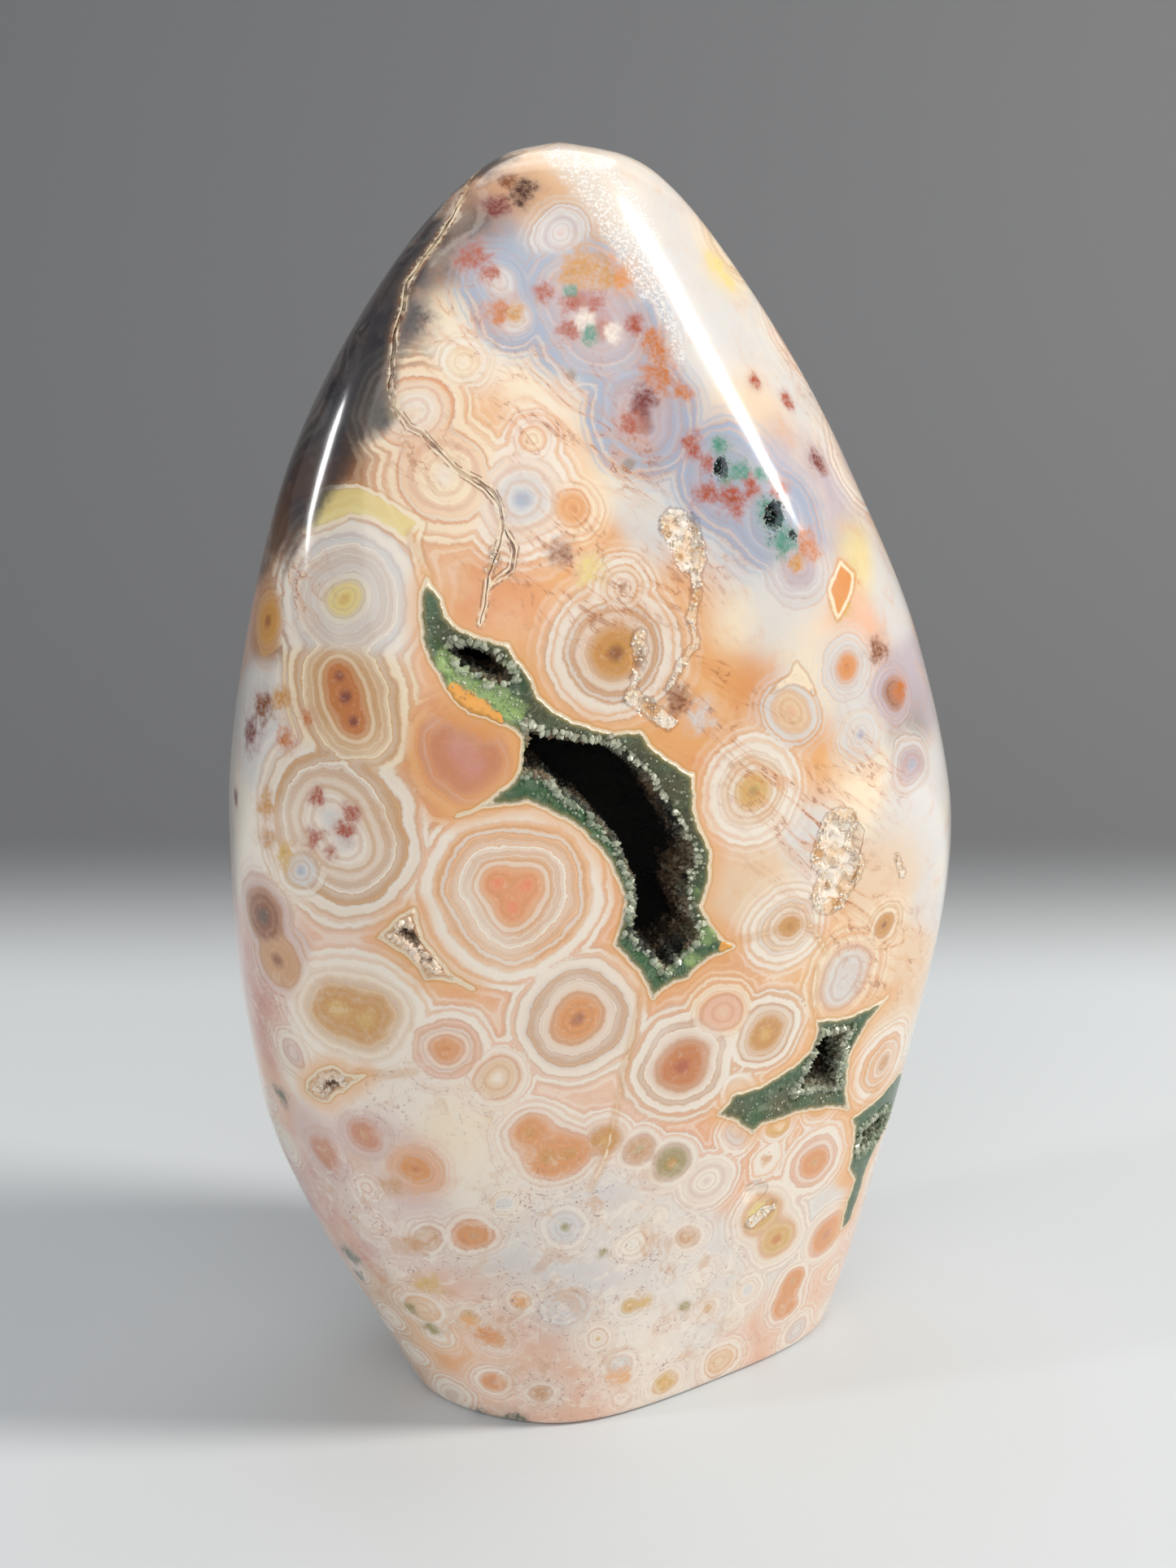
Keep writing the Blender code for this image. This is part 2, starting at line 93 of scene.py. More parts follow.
# Hollows: direction faced, middle, depth, outline and mouths. Each corner of an outline has its place
# across and up, and how far the side that follows it bulges.
FACE = (0.0, -1.0, 0.0)
HOLLOWS = {
    "main": {
        "facing": FACE, "middle": (0.0, 0.0, 0.0), "depth": 17.0, "mouth_depth": 14.0, "cell": 0.5,
        "outline": [
            (-25.3, 105.3, 0.3), (-23.6, 101.4, -0.7), (-17.3, 98.5, -0.3), (-14.9, 94.8, -0.7),
            (-12.1, 90.9, -0.8), (-3.2, 88.4, -0.6), (2.7, 83.4, -0.8), (4.6, 74.7, 0.3),
            (3.6, 68.5, -0.7), (7.7, 63.1, -0.5), (1.9, 60.0, -0.3), (-1.9, 58.0, -0.5),
            (-6.6, 64.9, -0.5), (-5.3, 70.5, -1.9), (-15.8, 81.6, -0.4), (-23.5, 80.4, -0.5),
            (-17.0, 84.4, -0.4), (-16.3, 88.8, -0.4), (-21.7, 91.3, 0.2), (-24.5, 95.1, 0.3),
            (-26.1, 100.1, 0.3),
        ],
        "mouths": [
            [
                (-23.2, 98.8, 0.2), (-18.0, 97.2, 0.2), (-16.6, 94.4, 0.0),
                (-19.3, 94.2, -0.3), (-22.6, 96.2, 0.1),
            ],
            [
                (-15.4, 90.2, -0.4), (-11.6, 88.2, 0.3), (-6.0, 87.0, 0.5), (-0.2, 80.4, 0.4),
                (3.2, 73.0, -0.6), (2.2, 68.7, 0.2), (3.6, 64.6, 0.3), (-0.8, 60.8, -0.3),
                (-5.0, 66.0, -0.3), (-4.3, 70.8, -1.4), (-12.0, 81.9, -0.6), (-16.2, 84.6, 0.2),
            ],
        ],
    },
    "right": {
        "facing": FACE, "middle": (0.0, 0.0, 0.0), "depth": 11.0, "mouth_depth": 9.0, "cell": 0.45,
        "outline": [
            (6.7, 41.8, -0.1), (8.6, 44.0, -0.9), (18.8, 47.4, -0.5), (19.2, 51.5, -0.9),
            (29.9, 52.0, -0.5), (25.0, 45.7, -0.6), (26.0, 37.0, -0.9), (14.7, 38.9, -0.4),
            (11.7, 38.0, -0.3),
        ],
        "mouths": [
            [(19.7, 49.6, -0.2), (24.6, 48.8, -0.5), (23.9, 40.6, -0.4), (17.0, 41.8, -0.5)],
        ],
    },
    "flank": {
        "facing": (0.83, -0.52, -0.20), "middle": (30.5, -9.0, 28.0), "depth": 6.5, "mouth_depth": 4.6,
        "cell": 0.45,
        "outline": [
            (-6.1, 6.9, 0.3), (-1.5, 8.8, 0.5), (3.0, 10.5, 0.6), (7.5, 7.0, 0.5), (6.0, 2.5, -0.4),
            (2.0, 0.5, -0.4), (0.8, -4.0, 0.2), (0.7, -10.5, 0.3), (-1.2, -11.0, 0.2),
            (-1.6, -3.6, -0.2), (-3.9, -1.1, -0.5),
        ],
        "mouths": [
            [(-3.6, 4.6, 0.4), (1.8, 5.8, 0.4), (3.4, 3.4, 0.2), (-0.4, 0.4, -0.2), (-2.6, 0.8, 0.2)],
        ],
    },
    "spindle": {
        "facing": FACE, "middle": (0.0, 0.0, 0.0), "depth": 5.0, "mouth_depth": 3.4, "cell": 0.35,
        "outline": [
            (-28.1, 70.2, -0.4), (-26.3, 65.2, -0.4), (-22.0, 60.9, -0.3),
            (-27.0, 62.4, -0.5), (-31.8, 67.0, 0.3),
        ],
        "mouths": [
            [
                (-28.4, 68.8, -0.2), (-26.6, 64.9, -0.2), (-24.2, 62.2, -0.2),
                (-27.4, 64.0, -0.2), (-30.4, 67.3, 0.1),
            ],
        ],
    },
    "pocket": {
        "facing": (-0.55, -0.83, -0.05), "middle": (-37.0, -16.6, 48.5), "depth": 4.5, "mouth_depth": 3.0,
        "cell": 0.35,
        "outline": [
            (-3.9, -1.7, 0.2), (-2.4, 0.8, 0.2), (-0.4, 2.4, 0.3), (1.4, 1.8, -0.2),
            (4.1, 2.0, -0.2), (1.2, -0.4, -0.2), (-1.0, -2.2, 0.3),
        ],
        "mouths": [[(-2.4, -1.1, 0.1), (-0.6, 1.2, 0.2), (1.7, 1.1, 0.1), (-0.7, -1.3, 0.1)]],
    },
}

# Colours by name, as red, green and blue out of 255.
COLOURS = {
    "white": (240, 230, 216),
    "milk": (216, 213, 210),
    "cream": (244, 226, 196),
    "pale": (230, 200, 166),
    "lilac": (218, 194, 186),
    "pink": (230, 182, 154),
    "salmon": (228, 154, 102),
    "peach": (232, 172, 112),
    "orange": (222, 150, 88),
    "amber": (226, 160, 72),
    "deep orange": (200, 120, 62),
    "ochre": (204, 148, 78),
    "gold": (216, 176, 102),
    "lemon": (234, 214, 140),
    "brick": (172, 84, 58),
    "maroon": (124, 56, 52),
    "mauve": (150, 100, 102),
    "terracotta": (204, 138, 106),
    "rose": (238, 132, 92),
    "tan": (206, 160, 118),
    "fawn": (176, 118, 76),
    "rust": (158, 92, 56),
    "rosewood": (208, 146, 132),
    "moss": (84, 98, 78),
    "brown": (138, 84, 52),
    "dark brown": (74, 42, 32),
    "umber": (92, 72, 58),
    "grey": (150, 142, 136),
    "slate": (44, 50, 60),
    # A dark blue for a painted reflection.
    "dark_reflection_blue": (26, 33, 46),
    "snow": (244, 243, 240),
    "blue grey": (158, 174, 196),
    "grey lilac": (192, 180, 188),
    "olive": (156, 144, 88),
    "teal": (84, 146, 126),
}

# Orbs of the broad face: lobe pixels, outer and core radius, then core, heart, ring and light colours.
ORBS = [
    ([(425, 735)], 9.3, 1.9, "lemon", "gold", "milk", "white"),
    ([(415, 828), (425, 858), (437, 890)], 7.0, 1.5, "deep orange", "maroon", "ochre", "cream"),
    ([(405, 1000), (420, 1035)], 9.6, 3.0, "white", "milk", "ochre", "white"),
    ([(370, 1072)], 4.2, 2.0, "milk", "blue grey", "gold", "white"),
    ([(322, 1125)], 5.0, 3.2, "brown", "umber", "tan", "lilac"),
    ([(342, 1180)], 5.2, 2.8, "tan", "brown", "tan", "lilac"),
    ([(413, 1238), (450, 1252)], 7.2, 3.3, "ochre", "gold", "cream", "white"),
    ([(360, 1297)], 3.4, 1.6, "lilac", "lilac", "tan", "white"),
    ([(548, 1290)], 5.6, 1.7, "orange", "deep orange", "pink", "white"),
    ([(612, 1325)], 4.4, 2.2, "pale", "white", "pink", "white"),
    ([(612, 1086), (652, 1088), (630, 1118)], 9.2, 1.7, "salmon", "rose", "peach", "white"),
    ([(562, 925), (580, 940)], 6.6, 3.6, "terracotta", "rosewood", "salmon", "peach"),
    ([(711, 1252)], 8.2, 2.7, "orange", "maroon", "tan", "white"),
    ([(839, 1308)], 7.4, 3.0, "deep orange", "brick", "tan", "white"),
    ([(941, 1268)], 5.6, 2.5, "ochre", "gold", "tan", "white"),
    ([(887, 1245)], 4.6, 2.2, "pink", "pale", "salmon", "cream"),
    ([(757, 800)], 7.6, 2.9, "ochre", "brown", "tan", "white"),
    ([(642, 612)], 6.6, 3.0, "milk", "blue grey", "peach", "white"),
    ([(700, 622)], 3.6, 1.8, "peach", "orange", "salmon", "cream"),
    ([(657, 540)], 3.2, 1.3, "cream", "orange", "salmon", "white"),
    ([(545, 585)], 7.0, 3.2, "cream", "white", "salmon", "cream"),
    ([(510, 505)], 6.0, 2.6, "white", "cream", "salmon", "cream"),
    ([(762, 722)], 3.8, 1.6, "white", "brown", "peach", "white"),
    ([(925, 972)], 6.0, 1.9, "gold", "olive", "pale", "white"),
    ([(966, 1140)], 5.4, 1.7, "ochre", "brown", "pale", "white"),
    ([(1087, 1135)], 3.2, 1.6, "ochre", "brown", "tan", "cream"),
    ([(1040, 1190), (1035, 1215)], 5.4, 2.8, "milk", "milk", "orange", "cream"),
    ([(1085, 1308)], 6.0, 1.3, "tan", "ochre", "peach", "white"),
    ([(1000, 1428)], 5.6, 2.2, "orange", "tan", "pink", "white"),
    ([(1015, 1517)], 5.0, 2.6, "orange", "terracotta", "pink", "white"),
    ([(935, 1490), (955, 1522)], 5.4, 2.6, "gold", "deep orange", "pink", "white"),
    ([(965, 1602), (976, 1572)], 3.4, 1.8, "orange", "tan", "pink", "white"),
    ([(650, 1396), (672, 1424), (700, 1418)], 4.8, 2.2, "orange", "ochre", "pink", "white"),
    ([(740, 1402)], 4.2, 1.9, "ochre", "gold", "pink", "white"),
    ([(784, 1416)], 3.8, 1.9, "tan", "olive", "lilac", "white"),
    ([(825, 1430)], 4.2, 2.2, "olive", "ochre", "lilac", "white"),
    ([(870, 1450)], 4.4, 2.0, "white", "lilac", "lilac", "white"),
    ([(511, 1437)], 3.4, 1.8, "orange", "deep orange", "peach", "pink"),
    ([(402, 1418)], 3.6, 2.3, "terracotta", "tan", "lilac", "lilac"),
    ([(448, 1397)], 3.6, 2.1, "terracotta", "tan", "lilac", "lilac"),
    ([(580, 1518)], 3.8, 2.2, "orange", "tan", "pink", "white"),
    ([(525, 1522)], 3.2, 1.7, "tan", "terracotta", "lilac", "white"),
    ([(973, 876)], 3.8, 2.2, "pale", "pink", "peach", "milk"),
    ([(1042, 820)], 3.6, 1.6, "orange", "deep orange", "lilac", "milk"),
    ([(1100, 852)], 3.6, 1.8, "brown", "brick", "tan", "grey lilac"),
    ([(1055, 905)], 3.2, 1.9, "milk", "blue grey", "cream", "milk"),
    ([(1118, 940)], 3.6, 2.2, "grey lilac", "blue grey", "tan", "milk"),
    ([(608, 1698)], 3.0, 1.6, "orange", "terracotta", "pink", "white"),
    ([(640, 1600)], 2.6, 1.2, "peach", "ochre", "pink", "white"),
    ([(735, 1645)], 2.8, 1.3, "white", "gold", "pink", "white"),
    ([(818, 1697)], 3.4, 1.6, "gold", "peach", "pink", "white"),
    ([(775, 1606)], 2.8, 1.1, "gold", "cream", "milk", "white"),
    ([(848, 1520)], 3.2, 1.5, "tan", "ochre", "lilac", "white"),
    ([(665, 1712)], 2.8, 1.3, "tan", "brown", "lilac", "white"),
    ([(695, 1512)], 4.0, 2.1, "milk", "olive", "milk", "white"),
    ([(690, 1610)], 3.0, 1.8, "milk", "lilac", "pink", "milk"),
    ([(760, 1680)], 3.0, 1.7, "milk", "white", "pink", "white"),
    ([(330, 765)], 3.4, 2.1, "ochre", "brown", "gold", "tan"),
    ([(785, 500), (792, 522)], 5.6, 2.6, "grey lilac", "maroon", "grey lilac", "blue grey"),
    ([(715, 372), (740, 405)], 7.0, 3.4, "grey lilac", "brick", "lilac", "blue grey"),
    ([(610, 345), (628, 392)], 3.6, 1.6, "milk", "lilac", "grey lilac", "blue grey"),
    ([(690, 290)], 3.4, 1.6, "milk", "lilac", "grey lilac", "milk"),
    ([(893, 590), (958, 645)], 6.0, 3.0, "blue grey", "teal", "grey lilac", "blue grey"),
    ([(980, 700)], 4.4, 2.2, "grey lilac", "lilac", "grey lilac", "milk"),
    ([(773, 572)], 1.7, 0.8, "grey", "grey", "tan", "milk"),
    ([(703, 460)], 1.7, 0.7, "grey", "milk", "milk", "white"),
    ([(570, 442)], 3.0, 1.6, "cream", "white", "cream", "white"),
]

# The rest of the stone has orbs of its own.
HIDDEN_ORBS = 280
HIDDEN_TRIES = 6000
HIDDEN_LOOKS = [
    ("ochre", "gold", "tan", "white"), ("orange", "deep orange", "peach", "white"),
    ("terracotta", "rose", "salmon", "cream"), ("pink", "white", "salmon", "white"),
    ("tan", "brown", "tan", "cream"), ("olive", "ochre", "pale", "white"),
    ("gold", "lemon", "cream", "white"), ("milk", "lilac", "pink", "white"),
    ("orange", "brick", "pink", "white"), ("brick", "maroon", "ochre", "cream"),
]
QUIET_LOOKS = [
    ("milk", "white", "pink", "white"), ("pale", "cream", "peach", "white"),
    ("white", "milk", "pale", "white"), ("gold", "cream", "pink", "white"),
]

# Ground colours between the orbs: for each colour, pixels and reach.
GROUNDS = {
    "pale": [
        (690, 195, 6), (1100, 1060, 5), (900, 1080, 5), (1110, 1200, 6), (930, 500, 5), (1140, 1200, 6),
        (1115, 1320, 5),
    ],
    "white": [
        (760, 215, 5), (600, 440, 5), (310, 1060, 6), (460, 1310, 6), (600, 1440, 6), (780, 1650, 8),
    ],
    "milk": [
        (830, 260, 6), (700, 440, 5), (820, 610, 5), (890, 690, 6), (950, 730, 6), (1130, 1000, 7),
        (1000, 1010, 4), (330, 900, 5), (700, 1560, 9), (780, 1560, 9), (880, 1590, 8), (830, 310, 5),
        (900, 420, 7), (960, 470, 5), (1090, 720, 5), (1158, 960, 6), (1160, 1080, 6), (850, 270, 6),
        (810, 225, 5), (740, 190, 5), (920, 380, 6), (970, 780, 5), (1060, 870, 4),
    ],
    "lemon": [(890, 330, 4), (1050, 680, 4)],
    "tan": [(640, 215, 4), (460, 1600, 6), (680, 260, 5)],
    "umber": [(580, 285, 4), (450, 430, 7), (400, 540, 7)],
    # The slate place in the smoky corner is partly a painted dark reflection.
    "slate": [(530, 290, 6)],
    "olive": [(470, 510, 3)],
    "brown": [(380, 620, 6), (345, 700, 6)],
    "blue grey": [(620, 310, 4), (660, 380, 4)],
    "cream": [
        (560, 400, 4), (640, 470, 5), (740, 540, 5), (1000, 800, 6), (1050, 970, 5), (590, 1400, 5),
        (900, 760, 4),
    ],
    "peach": [
        (700, 690, 5), (590, 500, 4), (600, 540, 4), (690, 560, 4), (640, 780, 4), (830, 780, 5),
        (880, 830, 4), (990, 940, 5), (990, 1180, 4), (520, 1190, 4), (980, 1345, 6), (1075, 1370, 4),
        (550, 1640, 5), (850, 740, 4),
    ],
    "orange": [(565, 690, 7), (480, 590, 4), (930, 840, 4), (870, 1190, 5)],
    "salmon": [
        (620, 760, 5), (880, 1020, 4), (505, 760, 5), (500, 880, 5), (530, 1030, 6), (500, 1080, 5),
        (740, 1150, 7), (620, 1230, 7), (780, 1255, 7), (900, 1350, 6), (930, 1420, 6), (880, 1400, 6),
    ],
    "grey": [(1120, 880, 4)],
    "terracotta": [(430, 640, 4)],
    "pink": [
        (480, 820, 4), (440, 1120, 5), (1060, 1560, 6), (620, 1640, 8), (700, 1720, 7), (930, 1640, 6),
        (720, 1340, 6), (1040, 770, 5),
    ],
    # The rosewood place at pixel (380, 1480) is darker partly as painted shade, where that side faces
    # down and away.
    "rosewood": [(300, 1180, 6), (380, 1480, 8)],
    "lilac": [(470, 1470, 7)],
    "grey lilac": [(950, 560, 6), (1020, 640, 6), (1000, 600, 4), (1130, 850, 5)],
}
HIDDEN_GROUNDS = ["cream", "salmon", "peach", "white", "pink", "lilac", "salmon", "pale", "milk"]

# Irregular blotches: for each colour, pixels and radius.
BLOTCHES = {
    "brick": [
        (580, 315, 2.4), (600, 335, 1.6), (702, 372, 2.2), (733, 372, 2.0), (668, 360, 1.6),
        (700, 405, 1.8), (782, 400, 1.8), (776, 522, 1.8), (850, 545, 2.0), (868, 570, 1.6),
        (868, 605, 2.2), (900, 612, 2.4), (922, 595, 1.8), (958, 602, 2.0), (968, 492, 1.7),
        (928, 470, 1.3), (390, 980, 1.5), (432, 998, 1.4), (425, 1022, 1.7), (386, 1028, 1.4),
        (408, 1048, 1.2),
    ],
    "deep orange": [
        (614, 382, 2.2), (805, 425, 2.8), (812, 460, 3.0), (838, 482, 1.8), (992, 668, 2.2),
        (352, 908, 1.8), (380, 882, 1.4), (1104, 845, 2.0),
    ],
    "ochre": [
        (630, 385, 1.6), (720, 328, 3.2), (700, 342, 2.2), (745, 338, 2.4), (978, 692, 1.5),
        (345, 862, 2.0), (325, 990, 2.2),
    ],
    "orange": [
        (768, 335, 3.2), (1040, 712, 2.6), (1078, 1440, 2.4), (1072, 1475, 2.0), (548, 868, 2.4),
        (572, 880, 2.6), (600, 900, 2.0), (600, 1640, 2.6),
    ],
    "white": [(716, 392, 2.0), (752, 408, 1.4)],
    "teal": [
        (725, 410, 1.6), (700, 358, 1.6), (885, 548, 1.6), (908, 580, 2.0), (935, 582, 1.4),
        (948, 632, 2.6), (964, 665, 2.6),
    ],
    "maroon": [(790, 490, 2.2), (1005, 568, 2.2), (612, 250, 2.2), (308, 900, 2.6), (290, 980, 1.6)],
    "grey lilac": [(1018, 600, 2.0)],
    "dark brown": [(640, 235, 2.4), (415, 478, 2.4)],
    "brown": [(625, 225, 1.8), (322, 870, 2.8), (1080, 800, 2.2), (690, 680, 1.8), (835, 862, 1.8)],
    "umber": [(515, 392, 2.2), (470, 390, 1.6)],
    "tan": [(330, 1030, 2.0), (480, 1455, 2.0), (508, 1530, 1.8)],
    "gold": [(350, 1050, 2.2), (1034, 745, 2.0), (525, 1578, 2.4), (790, 1600, 1.4)],
    "lemon": [(880, 325, 2.6), (895, 345, 2.0), (725, 700, 2.2), (930, 1488, 1.6)],
    "olive": [
        (470, 508, 2.2), (840, 1605, 1.2), (505, 1608, 1.3), (530, 1632, 1.6), (741, 1540, 1.0),
        (1068, 1500, 1.6),
    ],
    "milk": [(860, 880, 2.2)],
    "peach": [(580, 1625, 2.0), (760, 1690, 2.0)],
    "moss": [(430, 1542, 2.4), (442, 1568, 1.6), (630, 1746, 2.6), (590, 1742, 1.8), (345, 1345, 1.8)],
}
HIDDEN_BLOTCHES = ["brick", "ochre", "deep orange", "brown", "moss", "gold", "white", "maroon"]

# The pale yellow window and other bands, outlined in cream: pixel polygons and their colour.
WINDOWS = [
    ([(398, 598), (440, 596), (468, 608), (498, 628), (519, 640), (506, 655), (500, 668), (485, 656),
      (460, 640), (430, 634), (400, 648), (372, 655), (380, 620)], "lemon"),
    ([(502, 655), (522, 640), (514, 668), (520, 690), (530, 712), (522, 730), (512, 700)], "peach"),
    ([(949, 850), (962, 836), (973, 828), (978, 815), (990, 830), (1001, 853), (988, 842), (972, 838),
      (960, 843)], "cream"),
    ([(1018, 722), (1032, 690), (1050, 706), (1046, 730), (1030, 762), (1022, 740)], "orange"),
]

# Thin cream seams where the bands of neighbours meet, by pixels.
SEAMS = [
    [(531, 715), (524, 700), (514, 680), (506, 664), (503, 655)],
    [(885, 1162), (930, 1150), (985, 1132), (1000, 1140), (1015, 1170)],
    [(1003, 1255), (1000, 1220), (1003, 1190)],
    [(1044, 1365), (1052, 1372), (1060, 1360), (1078, 1340)],
    [(790, 1140), (798, 1180), (770, 1300), (745, 1420), (725, 1460)],
    [(440, 1318), (475, 1322), (510, 1316)],
]

# Where brown dashes, milky mottling and smoky translucence with painted shade are strong: pixel, reach,
# strength.
VEINED = [
    (680, 500, 6, 0.9), (760, 560, 5, 0.9), (690, 690, 6, 0.9), (860, 700, 4, 0.6), (870, 860, 5, 1.0),
    (950, 950, 5, 1.0), (1000, 1020, 6, 1.0), (1070, 950, 6, 0.6), (1040, 1120, 6, 0.9),
    (560, 400, 5, 0.7), (820, 720, 5, 0.6), (740, 740, 5, 0.7), (520, 560, 4, 0.6),
    (1100, 1180, 6, 0.9), (650, 560, 3, 0.3), (360, 720, 4, 0.8), (600, 700, 4, 0.4),
]
MOTTLED = [
    (470, 1340, 6, 0.8), (430, 1480, 8, 1.0), (520, 1560, 8, 1.0), (650, 1480, 7, 0.9),
    (740, 1490, 8, 1.0), (640, 1600, 10, 1.0), (780, 1560, 9, 1.0), (820, 1660, 9, 1.0),
    (700, 1700, 9, 0.9), (330, 1240, 5, 0.8), (880, 1560, 6, 0.9), (400, 1220, 3, 0.5),
    (560, 1360, 5, 0.7), (940, 1640, 5, 0.6),
]
# The smoky zone's outline: dark partly from its own smoky translucence, partly painted shade behind the
# healed crack.
SMOKE_AND_SHADE_EDGE = [
    (600, 190), (585, 215), (560, 262), (536, 300), (514, 330), (504, 352), (520, 372), (515, 400),
    (496, 420), (492, 470), (490, 500), (480, 530), (440, 560), (420, 600), (390, 640), (360, 690),
    (330, 740), (260, 760), (300, 560), (400, 330), (520, 200),
]

# The healed crack down the upper face and its branches, by pixels.
CRACKS = [
    [
        (588, 205), (560, 260), (535, 300), (512, 330), (498, 352), (495, 380), (486, 405), (482, 440),
        (480, 470), (484, 498), (502, 524), (518, 532), (534, 550), (562, 578), (596, 600), (614, 622),
        (619, 650), (610, 680), (600, 708), (596, 740), (590, 768),
    ],
    [(562, 578), (588, 590), (606, 605), (614, 622)],
    [(619, 650), (633, 672), (628, 700), (606, 716)],
]

# White frosty veins under the polish, partly a painted highlight along the upper right crest: pixels
# along each, half width in millimetres.
FROST_AND_HIGHLIGHT = [
    ([(690, 190), (722, 225), (752, 268), (780, 315), (800, 350)], 1.9),
    ([(735, 200), (775, 240), (800, 290)], 1.0),
    ([(800, 350), (822, 395), (836, 440)], 0.7),
]

# Half the width of the crack's groove at its middle, and its depth.
CRACK_HALF = 0.13
CRACK_DEPTH = 0.35

# Sugary broken quartz: pixels along each patch, half width in millimetres.
ROUGH = [
    ([(830, 645), (842, 660), (848, 684)], 1.7),
    ([(852, 690), (856, 722), (849, 758)], 0.45),
    ([(849, 758), (856, 790), (838, 815), (822, 845)], 0.3),
    ([(786, 782), (786, 800)], 0.7),
    ([(786, 800), (781, 830), (778, 855)], 0.35),
    ([(775, 857), (798, 872), (822, 888)], 0.75),
    ([(1032, 1020), (1022, 1050), (1040, 1068), (1022, 1098)], 2.5),
    ([(925, 1502), (945, 1482)], 0.9),
    ([(1110, 1075), (1100, 1052)], 0.3),
    ([(598, 700), (612, 690), (606, 676)], 0.3),
]
SPECKLES = 900

# Small pits, seen from the front: across, up, radius, stretch in height, depth and number of corners.
PITS = {
    "teal_pit_1": (7.3, 115.6, 1.0, 1.3, 2.4, 7),
    "teal_pit_2": (13.2, 110.3, 1.3, 1.5, 2.8, 8),
    "teal_pit_3": (15.4, 108.0, 0.6, 1.2, 1.6, 6),
    "rough_patch_top": (2.4, 108.0, 2.2, 1.7, 0.6, 11),
    "rough_patch_neck": (-3.4, 96.0, 1.0, 2.0, 0.5, 8),
    "rough_patch_lip": (-2.8, 91.2, 1.5, 0.9, 0.5, 8),
    "rough_patch_right": (20.4, 71.8, 3.7, 1.45, 0.6, 13),
    "rough_patch_low": (13.0, 29.2, 2.2, 0.85, 0.5, 9),
}
PIT_SEED = 11

# Lighter parts of the hollows' lining: pixel, reach, strength.
BRIGHT_CRUST = [
    (552, 812, 1.6, 1.0), (568, 835, 1.8, 1.0), (590, 850, 1.6, 1.0), (612, 855, 1.8, 1.0),
    (632, 872, 1.8, 1.0), (652, 915, 1.2, 0.9), (655, 940, 1.2, 0.9), (625, 822, 1.6, 0.6),
    (820, 1190, 1.6, 0.6), (868, 1150, 1.8, 0.8), (850, 1175, 1.6, 0.7), (800, 1165, 1.2, 0.5),
    (1075, 1520, 2.0, 0.8), (855, 1100, 1.2, 0.5), (690, 975, 1.0, 0.4), (930, 1365, 1.5, 0.4),
]

# Olive parts of the lining, which slope into the hollows: pixel, reach, strength.
OLIVE_CRUST = [
    (560, 775, 2.5, 0.8), (620, 800, 2.5, 0.8), (665, 870, 2.5, 0.9), (700, 905, 2.5, 1.0),
    (745, 915, 2.5, 1.0), (790, 930, 3.0, 1.0), (825, 970, 3.0, 1.0), (840, 1020, 3.0, 1.0),
    (845, 1070, 2.5, 0.9), (845, 1120, 2.0, 0.6), (900, 1370, 2.5, 0.8), (960, 1360, 2.5, 0.9),
    (1010, 1350, 2.5, 0.7), (1030, 1270, 2.5, 0.6),
]

# Orange jasper that shows through the rim: pixel, reach, strength.
AMBER_CRUST = [
    (558, 852, 1.3, 1.0), (573, 862, 1.4, 1.0), (590, 873, 1.4, 1.0), (606, 884, 1.2, 1.0),
    (892, 1164, 1.0, 1.0),
]

RNG_SEED = 7

# How finely the skin, the outlines and the crystals are made.
SKIN_LEVELS = 232
SKIN_TURNS = 372
FACE_DENSITY = 1.7
WIDEST_HEIGHT = 62.0
TRIANGLE_ROW = 0.866
OUTLINE_STEP = 0.3
RIM_WAVE = 0.16
MOUTH_WAVE = 0.22
CRYSTAL_POINTS = 13
CRYSTAL_RADIUS = 0.3
CRYSTAL_LENGTH = 0.42
CRYSTAL_TILT = 0.34
CRYSTAL_LIMIT = 6500
CRYSTALS_PER_AREA = 4.0
GRAIN_RADIUS = 0.19
GRAIN_LENGTH = 0.22
SHARP_EDGE = math.radians(35)

# Hollows deeper than this have the dark green lining.
GREEN_DEPTH = 4

# A distance that stands for far away, and how many points are worked on at a time.
FAR = 9.0
CHUNK = 6000

QUARTZ_IOR = 1.54


def rgb(name):
    """A named colour as linear red, green and blue."""
    share = np.array(COLOURS[name]) / 255
    return np.where(share <= 0.04045, share / 12.92, ((share + 0.055) / 1.055) ** 2.4)


def through(knots, height, column=1):
    """Monotone cubic curve through the knots, read at the given heights."""
    at = np.array([knot[0] for knot in knots], float)
    value = np.array([knot[column] for knot in knots], float)
    gap = np.diff(at)
    slope = np.diff(value) / gap
    tangent = np.zeros_like(value)
    tangent[0] = slope[0]
    tangent[-1] = slope[-1]
    for i in range(1, len(at) - 1):
        if slope[i - 1] * slope[i] > 0:
            before = 2 * gap[i] + gap[i - 1]
            after = gap[i] + 2 * gap[i - 1]
            tangent[i] = (before + after) / (before / slope[i - 1] + after / slope[i])
    i = np.clip(np.searchsorted(at, height, side="right") - 1, 0, len(gap) - 1)
    t = np.clip((height - at[i]) / gap[i], 0, 1)
    start = (1 + 2 * t) * (1 - t) ** 2 * value[i] + t * (1 - t) ** 2 * gap[i] * tangent[i]
    end = t * t * (3 - 2 * t) * value[i + 1] + t * t * (t - 1) * gap[i] * tangent[i + 1]
    return start + end


def rounded_max(a, b, softness):
    blend = np.clip(1 - np.abs(a - b) / softness, 0, 1)
    return np.maximum(a, b) + blend * blend * softness / 4


